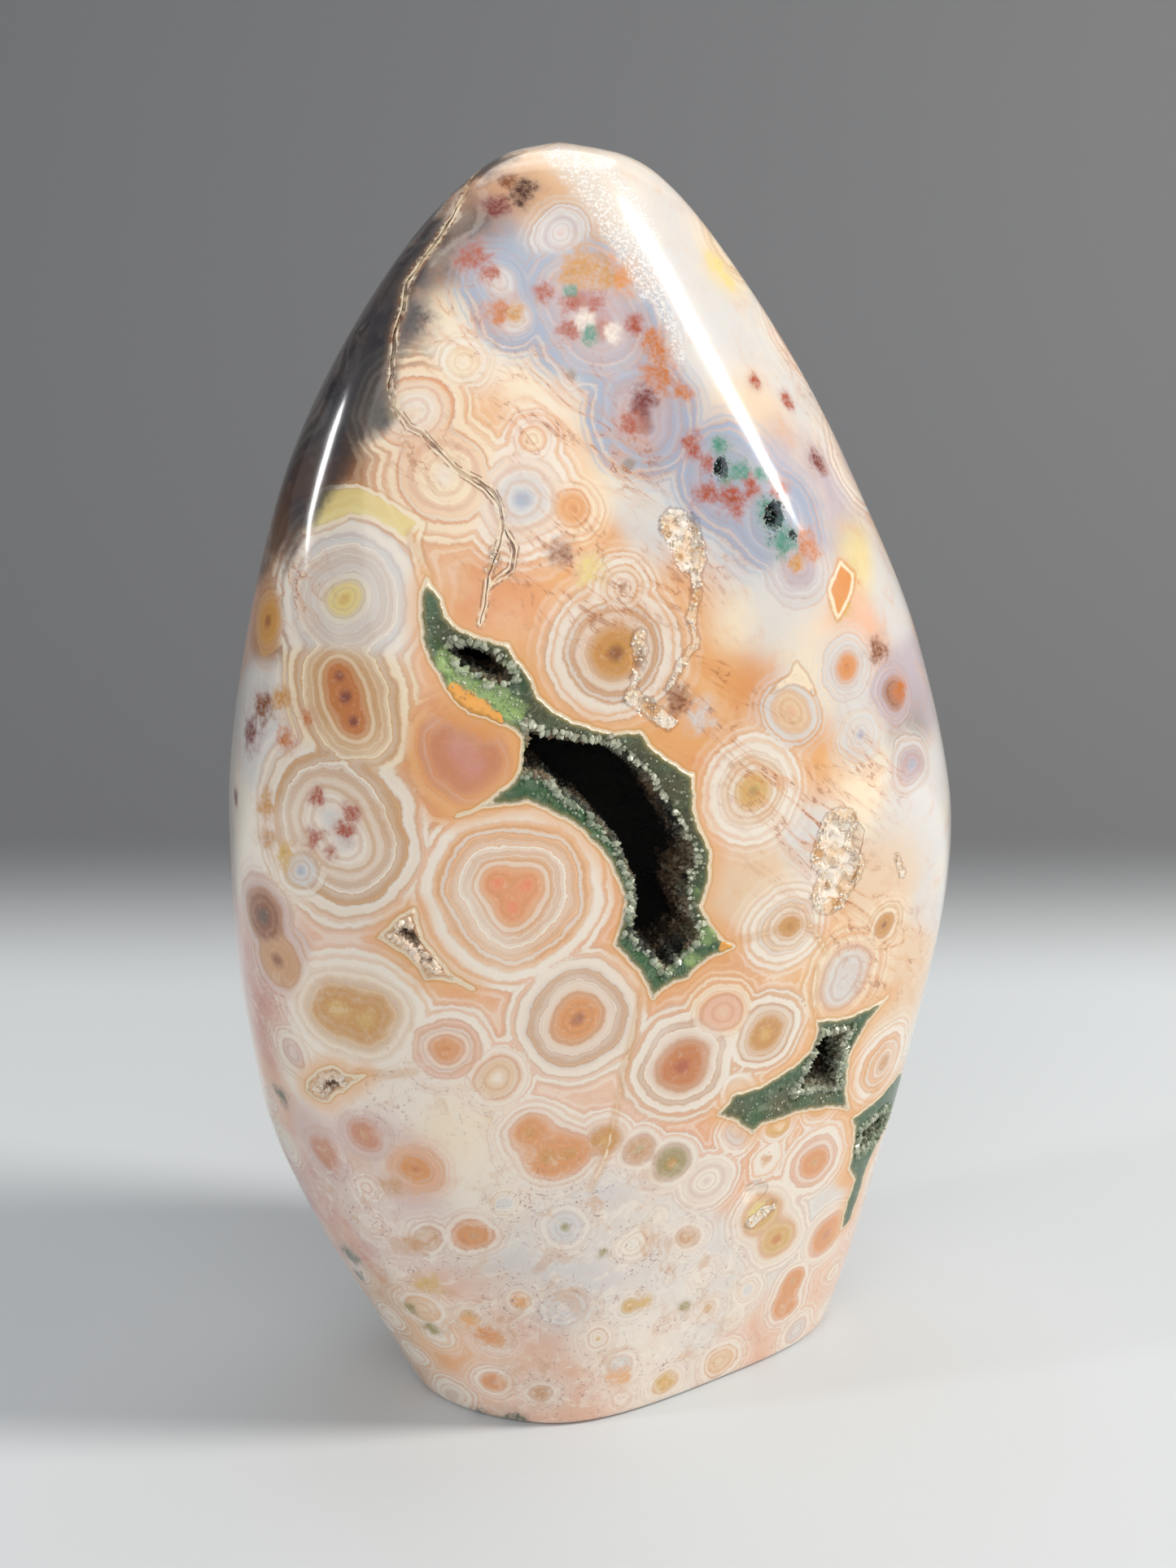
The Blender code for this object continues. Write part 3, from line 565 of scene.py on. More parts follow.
def form(x, y, z):
    """Below zero inside the polished stone, and above zero outside it."""
    z = np.clip(z, 0, HEIGHT - 0.01)
    middle_x = through(AXIS, z, 1)
    middle_y = through(AXIS, z, 2)
    across = np.where(x < middle_x, through(LEFT, z), through(RIGHT, z)) + 1e-6
    deep = np.where(y < middle_y, through(FRONT, z), through(BACK, z)) + 1e-6
    power = through(SQUARENESS, z)
    along_x = np.abs((x - middle_x) / across) ** power
    along_y = np.abs((y - middle_y) / deep) ** power
    value = ((along_x + along_y) ** (1 / power) - 1) * np.minimum(across, deep)
    for normal, point, softness in FLATS.values():
        out = np.array(normal) / np.linalg.norm(normal)
        flat = (x - point[0]) * out[0] + (y - point[1]) * out[1] + (z - point[2]) * out[2]
        value = rounded_max(value, flat, softness)
    return value


def form_at(points):
    return form(points[:, 0], points[:, 1], points[:, 2])


def unit(vectors):
    """The vectors, one in each row, drawn out or in to a length of one."""
    return vectors / np.maximum(np.linalg.norm(vectors, axis=1), 1e-9)[:, None]


def form_normals(points):
    """Outward directions of the polished form at the points."""
    slopes = []
    for nudge in np.eye(3) * 0.05:
        slopes.append(form_at(points + nudge) - form_at(points - nudge))
    return unit(np.stack(slopes, axis=1))


def seen(pixels):
    """The points of the stone that show at the photograph's pixels."""
    pixels = np.asarray(pixels, float)
    right = (pixels[:, 0] - PHOTO_WIDE / 2) / FOCAL_PIXELS
    down = (pixels[:, 1] - PHOTO_HIGH / 2) / FOCAL_PIXELS
    ahead = math.cos(PITCH) - down * math.sin(PITCH)
    rise = -math.sin(PITCH) - down * math.cos(PITCH)
    ray = np.stack([
        right * math.cos(TURN) + ahead * math.sin(TURN),
        ahead * math.cos(TURN) - right * math.sin(TURN),
        rise,
    ], axis=1)
    near = np.full(len(pixels), RAY_START)
    found = np.zeros(len(pixels), bool)
    closest = np.full(len(pixels), 1e9)
    best = near.copy()
    for reach in np.arange(RAY_START, RAY_END, RAY_STEP):
        point = np.array(CAMERA_AT) + ray * reach
        between = (point[:, 2] > 0) & (point[:, 2] < HEIGHT)
        value = np.where(between, form_at(point), FAR)
        first = (value < 0) & ~found
        near = np.where(first, reach - RAY_STEP / 2, near)
        found |= first
        nearer = (value < closest) & ~found
        closest = np.where(nearer, value, closest)
        best = np.where(nearer, reach, best)
    reach = np.where(found, near, best)
    return np.array(CAMERA_AT) + ray * reach[:, None]


def ring_points(height, turns, inset):
    """Points of the section at one height, one for each turn."""
    middle_x = through(AXIS, height, 1)
    middle_y = through(AXIS, height, 2)
    level = np.full(len(turns), height)
    low = np.zeros(len(turns))
    high = np.full(len(turns), 80.0)
    for _ in range(26):
        reach = (low + high) / 2
        x = middle_x + reach * np.cos(turns)
        y = middle_y + reach * np.sin(turns)
        inside = form(x, y, level) < -inset
        low = np.where(inside, reach, low)
        high = np.where(inside, high, reach)
    return np.stack([middle_x + low * np.cos(turns), middle_y + low * np.sin(turns), level], 1)


def link(name, points, faces):
    """A new object from points in millimetres."""
    mesh = bpy.data.meshes.new(name)
    mesh.from_pydata(np.asarray(points, float) * MM, [], faces)
    mesh.validate()
    mesh.update()
    made = bpy.data.objects.new(name, mesh)
    bpy.context.scene.collection.objects.link(made)
    return made


def shade_smooth(mesh):
    mesh.polygons.foreach_set("use_smooth", np.ones(len(mesh.polygons), bool))


def uneven_turns(count, front_share):
    """Turns round the stone, evenly spaced along its skin, but closer together on the broad face."""
    dense = np.linspace(0, 2 * math.pi, 3600, endpoint=False)
    ring = ring_points(WIDEST_HEIGHT, dense, 0.0)
    length = np.linalg.norm(np.roll(ring, -1, axis=0) - ring, axis=1)
    weight = length * np.where(ring[:, 1] < -3, front_share, 1.0)
    total = np.concatenate([[0], np.cumsum(weight)])
    wanted = np.linspace(0, total[-1], count, endpoint=False)
    return np.interp(wanted, total, np.append(dense, 2 * math.pi))


def stone_mesh(levels, count):
    """The polished skin, as rings of points from the sole to the crown."""
    turns = uneven_turns(count, FACE_DENSITY)
    share = np.linspace(0, 1, levels)[1:-1]
    heights = HEIGHT * (1 - (1 - share) ** 1.12)
    rings = [ring_points(0.0, turns, BASE_ROUND)]
    for part in (0.12, 0.35, 0.65):
        inset = BASE_ROUND * (1 - math.sqrt(1 - (1 - part) ** 2))
        rings.append(ring_points(BASE_ROUND * part, turns, inset))
    rings.append(ring_points(BASE_ROUND, turns, 0.0))
    rings += [ring_points(height, turns, 0.0) for height in heights[heights > BASE_ROUND * 1.3]]
    points = np.concatenate(rings + [[(0.0, 0.0, 0.0)], [(AXIS[-1][1], AXIS[-1][2], HEIGHT)]])
    sole = len(points) - 2
    crown = len(points) - 1
    k = np.arange(count)
    n = (k + 1) % count
    faces = [(sole, b, a) for a, b in zip(k.tolist(), n.tolist())]
    for ring in range(len(rings) - 1):
        low = ring * count
        high = low + count
        faces += np.stack([low + k, low + n, high + n, high + k], 1).tolist()
    last = (len(rings) - 1) * count
    faces += [(last + a, last + b, crown) for a, b in zip(k.tolist(), n.tolist())]
    return link("jasper_body", points, faces)


class Frame:
    """A flat view of the stone from one side: across, up, and how deep below the polished face."""

    def __init__(self, facing, middle):
        self.out = np.array(facing, float) / np.linalg.norm(facing)
        self.across = np.cross((0.0, 0.0, 1.0), self.out)
        self.across /= np.linalg.norm(self.across)
        self.up = np.cross(self.out, self.across)
        self.middle = np.array(middle, float)

    def place(self, flat, height):
        flat = np.asarray(flat, float)
        rise = np.asarray(height, float)[:, None] * self.out
        return self.middle + flat[:, :1] * self.across + flat[:, 1:2] * self.up + rise

    def flatten(self, points):
        """Across, up and height of the points in this view."""
        offset = points - self.middle
        return np.stack([offset @ self.across, offset @ self.up], axis=1), offset @ self.out

    def face_height(self, flat):
        """Height of the polished face above the plane, for each flat point."""
        high = np.full(len(flat), 40.0)
        for step in np.arange(39.0, -12.0, -1.0):
            point = self.place(flat, np.full(len(flat), step))
            outside = form_at(point) > 0
            high = np.where(outside & (high - step < 1.01), step, high)
        low = high - 1.0
        for _ in range(16):
            mid = (low + high) / 2
            point = self.place(flat, mid)
            outside = form_at(point) > 0
            high = np.where(outside, mid, high)
            low = np.where(outside, low, mid)
        return (low + high) / 2


def arcs(corners, step):
    """The closed outline through the corners, in short straight pieces."""
    points = []
    for corner, following in zip(corners, corners[1:] + corners[:1]):
        start = np.array(corner[:2], float)
        run = np.array(following[:2], float) - start
        length = np.linalg.norm(run)
        outward = np.array((-run[1], run[0])) / length
        pieces = max(1, round(length / step))
        for i in range(pieces):
            t = i / pieces
            points.append(start + run * t + outward * corner[2] * 4 * t * (1 - t))
    return np.array(points)


def distance_along(line):
    """How far along the line each of its points lies."""
    return np.concatenate([[0], np.cumsum(np.linalg.norm(np.diff(line, axis=0), axis=1))])


def wavy(outline, size, seed):
    """The outline with small uneven waves along it."""
    random = np.random.default_rng(seed)
    length = distance_along(outline)
    along = np.roll(outline, -1, axis=0) - np.roll(outline, 1, axis=0)
    normal = unit(np.stack([-along[:, 1], along[:, 0]], axis=1))
    wave = np.zeros(len(outline))
    for period, share in ((5.3, 0.5), (2.4, 0.35), (1.15, 0.3)):
        wave += share * np.sin(length * 2 * math.pi / period + random.uniform(0, 6.28))
    return outline + normal * (wave * size)[:, None]


def depth_inside(points, outline):
    """Distance from each point to the outline, negative outside it."""
    result = []
    start = outline[None, :, :]
    run = np.roll(outline, -1, axis=0)[None, :, :] - start
    squared = np.maximum((run * run).sum(-1), 1e-12)
    height = np.where(np.abs(run[..., 1]) < 1e-12, 1e-12, run[..., 1])
    for first in range(0, len(points), CHUNK):
        some = points[first:first + CHUNK]
        offset = some[:, None, :] - start
        share = np.clip((offset * run).sum(-1) / squared, 0, 1)
        distance = np.linalg.norm(offset - share[..., None] * run, axis=-1).min(axis=1)
        crosses = (start[..., 1] > some[:, None, 1]) != (start[..., 1] + run[..., 1] > some[:, None, 1])
        at = start[..., 0] + (some[:, None, 1] - start[..., 1]) * run[..., 0] / height
        inside = ((at > some[:, None, 0]) & crosses).sum(axis=1) % 2 == 1
        result.append(np.where(inside, distance, -distance))
    return np.concatenate(result) if result else np.zeros(0)


def grid_inside(outline, cell, margin, seed):
    """Slightly uneven points of a triangular grid inside the outline."""
    random = np.random.default_rng(seed)
    low = outline.min(axis=0)
    high = outline.max(axis=0)
    rows = int((high[1] - low[1]) / (cell * TRIANGLE_ROW)) + 1
    columns = int((high[0] - low[0]) / cell) + 1
    row, column = np.mgrid[0:rows, 0:columns]
    points = np.stack([
        low[0] + (column + 0.5 * (row % 2)) * cell,
        low[1] + row * cell * TRIANGLE_ROW,
    ], axis=-1).reshape(-1, 2)
    points += random.uniform(-0.22, 0.22, points.shape) * cell
    return points[depth_inside(points, outline) > margin]


def net(outline, loops, inner):
    """Triangles that fill the outline and use the inner points and the inner loops' edges."""
    points = [Vector(point) for point in outline]
    edges = [(i, (i + 1) % len(outline)) for i in range(len(outline))]
    for loop in loops:
        first = len(points)
        points += [Vector(point) for point in loop]
        edges += [(first + i, first + (i + 1) % len(loop)) for i in range(len(loop))]
    points += [Vector(point) for point in inner]
    found = geometry.delaunay_2d_cdt(points, edges, [], 1, 1e-5)
    flat = np.array([tuple(point) for point in found[0]])
    faces = np.array([tuple(face) for face in found[2]])
    a, b, c = flat[faces[:, 0]], flat[faces[:, 1]], flat[faces[:, 2]]
    area = (b[:, 0] - a[:, 0]) * (c[:, 1] - a[:, 1]) - (b[:, 1] - a[:, 1]) * (c[:, 0] - a[:, 0])
    return flat, np.where((area > 0)[:, None], faces, faces[:, [0, 2, 1]])


def block_between(name, view, flat, faces, top, bottom):
    """A closed solid between two surfaces that share one net."""
    count = len(flat)
    points = np.concatenate([view.place(flat, top), view.place(flat, bottom)])
    used = set()
    for a, b, c in faces.tolist():
        used |= {(a, b), (b, c), (c, a)}
    rim = [(a, b) for a, b in used if (b, a) not in used]
    walls = []
    for a, b in rim:
        walls.append((b, a, a + count))
        walls.append((b, a + count, b + count))
    everything = faces.tolist() + (faces[:, [0, 2, 1]] + count).tolist() + walls
    return link(name, points, everything)


def bowl(inside, half_width, depth, steepness):
    """Depth of a rounded bowl with steep sides, by the distance from its rim."""
    share = np.clip(inside / half_width, 0, 1)
    return depth * np.maximum(1 - (1 - share) ** steepness, 0) ** (1 / steepness)


def cut_out(stone, cutter):
    """Cuts the closed cutter out of the stone, and deletes it."""
    modifier = stone.modifiers.new("cut", "BOOLEAN")
    modifier.operation = "DIFFERENCE"
    modifier.solver = "MANIFOLD"
    modifier.object = cutter
    bpy.context.view_layer.update()
    evaluated = stone.evaluated_get(bpy.context.evaluated_depsgraph_get())
    mesh = bpy.data.meshes.new_from_object(evaluated)
    stone.modifiers.clear()
    stone.data = mesh
    bpy.data.objects.remove(cutter, do_unlink=True)


def smooth_noise(points, scale, seed):
    """Soft noise between -1 and 1 from a few crossing waves."""
    random = np.random.default_rng(seed)
    total = np.zeros(len(points))
    for _ in range(9):
        direction = random.normal(size=3)
        direction *= random.uniform(0.6, 1.6) / np.linalg.norm(direction) / scale
        total += np.sin(points @ direction * 2 * math.pi + random.uniform(0, 6.28))
    return total / 4.5


def crystals(random, sites, normals, radius, length):
    """Six-sided quartz points at the sites, standing along the normals with some tilt."""
    points = []
    faces = []
    ring = np.arange(6) * math.pi / 3
    for i, (site, normal) in enumerate(zip(sites, normals)):
        axis = normal + random.normal(size=3) * CRYSTAL_TILT
        axis /= np.linalg.norm(axis)
        side = np.cross(axis, random.normal(size=3))
        side /= np.linalg.norm(side)
        other = np.cross(axis, side)
        wide = radius[i] * random.uniform(0.85, 1.15, 6)
        tall = length[i]
        spin = ring + random.uniform(0, 1)
        circle = np.cos(spin)[:, None] * side + np.sin(spin)[:, None] * other
        first = CRYSTAL_POINTS * i
        points.append(site + circle * wide[:, None] - axis * 0.5 * tall)
        points.append(site + circle * wide[:, None] * 0.96 + axis * 0.35 * tall)
        tip = circle[0] * radius[i] * random.uniform(0, 0.25)
        points.append((site + axis * tall + tip)[None, :])
        for k in range(6):
            n = (k + 1) % 6
            faces.append((first + k, first + n, first + 6 + n, first + 6 + k))
            faces.append((first + 6 + k, first + 6 + n, first + 12))
    return np.concatenate(points), faces


def store(mesh, name, values):
    """A value or colour for each point of the mesh."""
    values = np.asarray(values, np.float32)
    if values.ndim == 1:
        mesh.attributes.new(name, "FLOAT", "POINT").data.foreach_set("value", values)
    else:
        four = np.concatenate([values, np.ones((len(values), 1), np.float32)], axis=1)
        mesh.attributes.new(name, "FLOAT_COLOR", "POINT").data.foreach_set("color", four.ravel())


def mesh_points(mesh):
    """The points of the mesh in millimetres."""
    points = np.empty(len(mesh.vertices) * 3, np.float32)
    mesh.vertices.foreach_get("co", points)
    return points.reshape(-1, 3).astype(float) / MM


def of_polygons(mesh, name, size):
    """A property of every polygon, one row for each."""
    values = np.empty(len(mesh.polygons) * size, np.float32)
    mesh.polygons.foreach_get(name, values)
    return values.reshape(-1, size)


# The hollows, cut and lined.

def fine_outline(hollow, seed):
    return wavy(arcs(hollow["outline"], OUTLINE_STEP), RIM_WAVE, seed)


def fine_mouths(hollow, seed):
    mouths = enumerate(hollow["mouths"])
    return [wavy(arcs(corners, OUTLINE_STEP), MOUTH_WAVE, seed + i) for i, corners in mouths]


def along_outline(points, outline):
    """For each point, how far along the outline its nearest place is."""
    length = np.linalg.norm(np.roll(outline, -1, axis=0) - outline, axis=1)
    total = np.concatenate([[0], np.cumsum(length)[:-1]])
    result = []
    for first in range(0, len(points), CHUNK):
        gap = ((points[first:first + CHUNK, None, :] - outline[None]) ** 2).sum(axis=-1)
        result.append(total[gap.argmin(axis=1)])
    return np.concatenate(result)


def inward(view, mouths, sites):
    """For each site, the sideways direction toward the nearest mouth's middle."""
    flat = view.flatten(sites)[0]
    middles = [grid_inside(mouth, 0.8, 0.3, 5) for mouth in mouths]
    middles = np.concatenate(middles + [[mouths[0].mean(axis=0)]])
    gap = np.linalg.norm(flat[:, None, :] - middles[None], axis=-1)
    toward = unit(middles[gap.argmin(axis=1)] - flat)
    return toward[:, :1] * view.across + toward[:, 1:2] * view.up


def crust_piece(name, hollow, seed):
    """The quartz lining of one hollow: a flush rim, walls that fall away, and a druse of points."""
    random = np.random.default_rng(seed)
    view = Frame(hollow["facing"], hollow["middle"])
    outline = fine_outline(hollow, seed)
    mouths = fine_mouths(hollow, seed)
    cell = hollow["cell"]
    inner = grid_inside(outline, cell, 0.4 * cell, seed)
    for mouth in mouths:
        inner = inner[np.abs(depth_inside(inner, mouth)) > 0.3 * cell]
    flat, faces = net(outline, mouths, inner)
    face = view.face_height(flat)
    from_rim = np.maximum(depth_inside(flat, outline), 0)
    in_mouth = np.max([depth_inside(flat, mouth) for mouth in mouths], axis=0)
    reach = max(in_mouth.max(), 1.0)
    down = bowl(np.maximum(in_mouth, 0), reach, hollow["mouth_depth"], 3.2)
    surface = view.place(flat, face)
    rough = (smooth_noise(surface, 2.6, seed) + smooth_noise(surface, 1.1, seed + 1)) * 0.35
    down = down + np.where(in_mouth > 0.2, rough, 0)
    shoulder = np.clip(1 - np.abs(in_mouth + 0.2) / 0.9, 0, 1) * np.clip((from_rim - 0.5) / 0.5, 0, 1)
    bright = soft_spots(surface, BRIGHT_CRUST)
    olive = soft_spots(surface, OLIVE_CRUST)
    amber = soft_spots(surface, AMBER_CRUST)
    slope = 0.34 * olive * np.clip(from_rim - 0.5, 0, 3.5)
    slope += 0.55 * bright * np.clip((from_rim - 0.3) / 0.8, 0, 1)
    slope *= hollow["mouth_depth"] > GREEN_DEPTH
    down = np.maximum(down, 0) + 0.35 * shoulder + slope + 0.01
    floor = np.maximum(down + 1.2, 1.5)
    body = block_between("lining_" + name, view, flat, faces, face - down, face - floor)
    top = view.place(flat, face - down)
    a, b, c = top[faces[:, 0]], top[faces[:, 1]], top[faces[:, 2]]
    normal = np.cross(b - a, c - a)
    area = np.linalg.norm(normal, axis=1) / 2
    normal /= np.maximum(2 * area, 1e-9)[:, None]
    middle_mouth = in_mouth[faces].mean(axis=1)
    middle_down = down[faces].mean(axis=1)
    middle_rim = from_rim[faces].mean(axis=1)
    edge_row = np.exp(-((middle_mouth + 0.05) / 0.5) ** 2)
    wanted_share = np.where((middle_mouth > -0.9) & (middle_rim > 0.5), 0.35 + 2.6 * edge_row, 0.0)
    wanted_share = np.where(middle_down > 9.0, 0.25 * wanted_share, wanted_share)
    lively = np.maximum(1.5 * bright, 0.9 * olive)[faces].mean(axis=1)
    lively *= hollow["mouth_depth"] > GREEN_DEPTH
    wanted_share = np.where(middle_rim > 0.55, np.maximum(wanted_share, lively), wanted_share)
    chance = area * wanted_share + 1e-12
    wanted = int(min(CRYSTAL_LIMIT, CRYSTALS_PER_AREA * chance.sum()))
    chosen = random.choice(len(faces), wanted, p=chance / chance.sum())
    blend = random.dirichlet((1, 1, 1), wanted)
    sites = a[chosen] * blend[:, :1] + b[chosen] * blend[:, 1:2] + c[chosen] * blend[:, 2:3]
    facing = unit(normal[chosen] + view.out * 0.35)
    size = random.uniform(0.5, 1.15, wanted) * np.where(middle_mouth[chosen] < -0.5, 0.6, 1.0)
    row = edge_row[chosen]
    facing = unit(facing + row[:, None] * inward(view, mouths, sites) * 0.8)
    radius = (CRYSTAL_RADIUS + 0.08 * row) * size
    length = (CRYSTAL_LENGTH + 0.34 * row) * size
    points, crystal_faces = crystals(random, sites, facing, radius, length)
    druse = link("druse_" + name, points, crystal_faces)
    sparkle = random.uniform(0, 1, wanted)
    corner = faces[chosen, 0]
    lit = np.maximum(bright, 0.8 * olive)[corner]
    glint = 0.6 * sparkle ** 1.5 + 0.5 * row + 0.6 * lit * sparkle ** 2
    fields = {
        "inside": (np.tile(from_rim, 2), middle_rim[chosen]),
        "down": (np.concatenate([down, floor]), middle_down[chosen]),
        "glint": (np.zeros(2 * len(flat)), glint),
    }
    spread = {"along": along_outline(flat, outline), "bright": bright, "olive": olive, "amber": amber}
    for field, values in spread.items():
        fields[field] = (np.tile(values, 2), values[corner])
    for field, (on_body, on_druse) in fields.items():
        store(body.data, field, on_body)
        store(druse.data, field, np.repeat(on_druse, CRYSTAL_POINTS))
    shade_smooth(body.data)
    return join([body, druse], "crust_" + name + "_crystals")


def join(objects, name):
    """Makes one object of several, and returns it."""
    with bpy.context.temp_override(
        active_object=objects[0], selected_editable_objects=objects, selected_objects=objects
    ):
        bpy.ops.object.join()
    objects[0].name = name
    objects[0].data.name = name
    return objects[0]


def cut_hollow(stone, hollow, seed):
    """Cuts one hollow out of the stone, with straight walls that its lining covers."""
    view = Frame(hollow["facing"], hollow["middle"])
    outline = fine_outline(hollow, seed)
    flat, faces = net(outline, [], np.zeros((0, 2)))
    face = view.face_height(flat)
    cut_out(stone, block_between("cutter", view, flat, faces, face + 5.0, face - hollow["depth"]))


def random_outline(random, across, up, radius, stretch, corners):
    """Corners of an uneven round outline."""
    turns = random.uniform(-0.15, 0.15, corners) - np.linspace(0, 2 * math.pi, corners, endpoint=False)
    reach = radius * random.uniform(0.75, 1.15, corners)
    return np.stack([across + reach * np.cos(turns), up + stretch * reach * np.sin(turns)], axis=1)


def cut_pit(stone, across, up, radius, stretch, depth, corners):
    """A small pit or rough patch, with the solid's outline and a finer broken floor."""
    random = np.random.default_rng(PIT_SEED + round(up * 10))
    corner_points = random_outline(random, across, up, radius, stretch, corners)
    outline = wavy(arcs([(x, y, 0.0) for x, y in corner_points], 0.25), 0.12, corners)
    inner = grid_inside(outline, 0.3, 0.12, corners)
    flat, faces = net(outline, [], inner)
    view = Frame(FACE, (0.0, 0.0, 0.0))
    face = view.face_height(flat)
    inside = depth_inside(flat, outline)
    broken = smooth_noise(view.place(flat, face), 1.3, corners) * 0.5 + 0.5
    down = np.clip(inside / (0.35 * radius), 0.2, 1) * depth * (0.45 + 0.55 * broken)
    cut_out(stone, block_between("cutter", view, flat, faces, face + 4.0, face - np.maximum(down, 0.08)))


def cut_crack(stone, line, seed):
    """A narrow groove along the line, tapered at both ends."""
    flat = line[:, [0, 2]]
    length = distance_along(flat)
    at = np.linspace(0, length[-1], max(6, int(length[-1] / 0.45)))
    path = np.stack([np.interp(at, length, flat[:, 0]), np.interp(at, length, flat[:, 1])], axis=1)
    spread = np.stack([path[:, 0], np.zeros(len(path)), path[:, 1]], axis=1)
    wander = [smooth_noise(spread, 2.0, seed), smooth_noise(spread, 2.0, seed + 1)]
    path += 0.12 * np.stack(wander, axis=1)
    run = np.gradient(path, axis=0)
    side = np.stack([-run[:, 1], run[:, 0]], axis=1) / np.linalg.norm(run, axis=1)[:, None]
    half = CRACK_HALF * (0.25 + np.sin(math.pi * np.linspace(0, 1, len(path))) ** 0.6)
    half *= 1 + 0.5 * smooth_noise(spread, 3.0, seed + 2)
    half = np.maximum(half, 0.03)
    outline = np.concatenate([path + side * half[:, None], (path - side * half[:, None])[::-1]])
    flat, faces = net(outline, [], np.zeros((0, 2)))
    view = Frame(FACE, (0.0, 0.0, 0.0))
    face = view.face_height(flat)
    bottom = face - CRACK_DEPTH
    cut_out(stone, block_between("cutter", view, flat, faces, face + 1.5, bottom))


def sugar_piece(mesh):
    """Grains of broken quartz on the rough patches, and teal grains in the teal pits."""
    random = np.random.default_rng(RNG_SEED + 5)
    front = mesh_points(mesh)[:, 1].min() + 22
    middles = of_polygons(mesh, "center", 3) / MM
    normals = of_polygons(mesh, "normal", 3)
    areas = of_polygons(mesh, "area", 1)[:, 0]
    pits = [pit for name, pit in PITS.items() if name.startswith("teal")]
    to_patch = patch_distance(middles, ROUGH)
    sugar = np.where(to_patch < 0.1, np.exp(-((to_patch + 0.35) / 0.5) ** 2) + 0.08, 0.0)
    teal = np.zeros(len(middles), bool)
    for across, up, radius, stretch, *_ in pits:
        gap = np.hypot(middles[:, 0] - across, (middles[:, 2] - up) / stretch)
        teal |= (gap < 1.25 * radius) & (middles[:, 1] < front)
    chance = areas * (sugar + 2.5 * teal)
    chosen = random.choice(len(chance), SPECKLES, p=chance / chance.sum())
    sites = middles[chosen] + random.normal(size=(SPECKLES, 3)) * 0.12
    size = random.uniform(0.4, 1.1, SPECKLES) * np.where(teal[chosen], 0.55, 1.0)
    facing = normals[chosen].astype(float)
    grains = crystals(random, sites, facing, GRAIN_RADIUS * size, GRAIN_LENGTH * size)
    piece = link("sugary_quartz_grains", *grains)
    store(piece.data, "glint", np.repeat(random.uniform(0, 1, SPECKLES), CRYSTAL_POINTS))
    store(piece.data, "teal", np.repeat(teal[chosen].astype(float), CRYSTAL_POINTS))
    return piece


# The colour fields over the polished skin.

def placed(table):
    """The middle, size and colour of every place in a table that lists places by their colour."""
    rows = [(*place, rgb(colour)) for colour, places in table.items() for place in places]
    return [(middle, *row[2:]) for middle, row in zip(seen([row[:2] for row in rows]), rows)]


def gap_to(points, middle):
    """Distance from each point to one place."""
    return np.linalg.norm(points - middle, axis=1)


def camera_facing(spots):
    """How far the skin nearest to each spot faces the photograph's camera, from -1 to 1."""
    return (form_normals(spots) * unit(np.array(CAMERA_AT) - spots)).sum(axis=1)


def scattered(random, count, low, high, inset):
    """Random points on or a little under the skin, between two heights."""
    heights = random.uniform(low, high, count)
    turns = random.uniform(0, 2 * math.pi, count)
    return ring_points(heights, turns, random.uniform(0.0, inset, count))


def seen_groups(groups):
    """The seen points of many short lists of pixels."""
    points = seen([pixel for group in groups for pixel in group])
    return np.split(points, np.cumsum([len(group) for group in groups])[:-1])


def orb_table():
    """Lobes, sizes, colours and ring phases of every orb, shown and hidden."""
    random = np.random.default_rng(RNG_SEED)
    lobes = seen_groups([orb[0] for orb in ORBS])
    sizes = [orb[1:3] for orb in ORBS]
    tints = [[rgb(name) for name in orb[3:7]] for orb in ORBS]
    shown = np.concatenate(lobes)
    middles = list(shown)
    reaches = [size[0] for size, group in zip(sizes, lobes) for _ in group]
    spots = scattered(random, HIDDEN_TRIES, 1.0, 147.0, 2.5)
    for i, (spot, facing) in enumerate(zip(spots, camera_facing(spots))):
        shown_side = facing > -0.1
        if len(lobes) == len(ORBS) + HIDDEN_ORBS:
            break
        outer = 2.3 + random.uniform(5.0, 6.6) * (1 - i / len(spots)) ** 2.2
        if shown_side:
            outer = random.uniform(2.2, 3.4)
        gap = gap_to(np.array(middles), spot)
        if (gap < 0.82 * (outer + np.array(reaches))).any():
            continue
        if shown_side and (spot[2] > 45 or random.uniform() < 0.6):
            continue
        if facing > -0.35 and outer > 5.0:
            continue
        if gap_to(shown, spot).min() < outer + 3.5:
            continue
        core = outer * random.uniform(0.3, 0.5)
        lobe_count = random.choice([1, 2, 3], p=[0.6, 0.25, 0.15])
        offsets = random.normal(size=(lobe_count, 3)) * core * 0.55 * (lobe_count > 1)
        lobes.append(spot + offsets)
        middles.append(spot)
        reaches.append(outer)
        sizes.append((outer, core))
        looks = QUIET_LOOKS if shown_side else HIDDEN_LOOKS
        tints.append([rgb(name) for name in looks[random.integers(len(looks))]])
    phases = 4.0 + 1.5 * smooth_noise(np.array([group.mean(axis=0) for group in lobes]), 40.0, 21)
    return lobes, np.array(sizes), np.array(tints), phases


def hidden_spots(count, seed):
    """Random places on the skin that the photograph doesn't show."""
    spots = scattered(np.random.default_rng(seed), 6 * count, 4.0, 145.0, 0.5)
    return spots[camera_facing(spots) < -0.2][:count]


def soft_spots(points, spots, hidden=0):
    """The strength of soft spots, each given by pixel, reach and strength."""
    total = np.zeros(len(points))
    given = [(middle, 9.0, 0.9) for middle in hidden_spots(hidden, hidden)]
    given += [(middle, *spot[2:]) for middle, spot in zip(seen([spot[:2] for spot in spots]), spots)]
    for middle, reach, strength in given:
        total = np.maximum(total, strength * np.exp(-(gap_to(points, middle) / reach) ** 2))
    return total


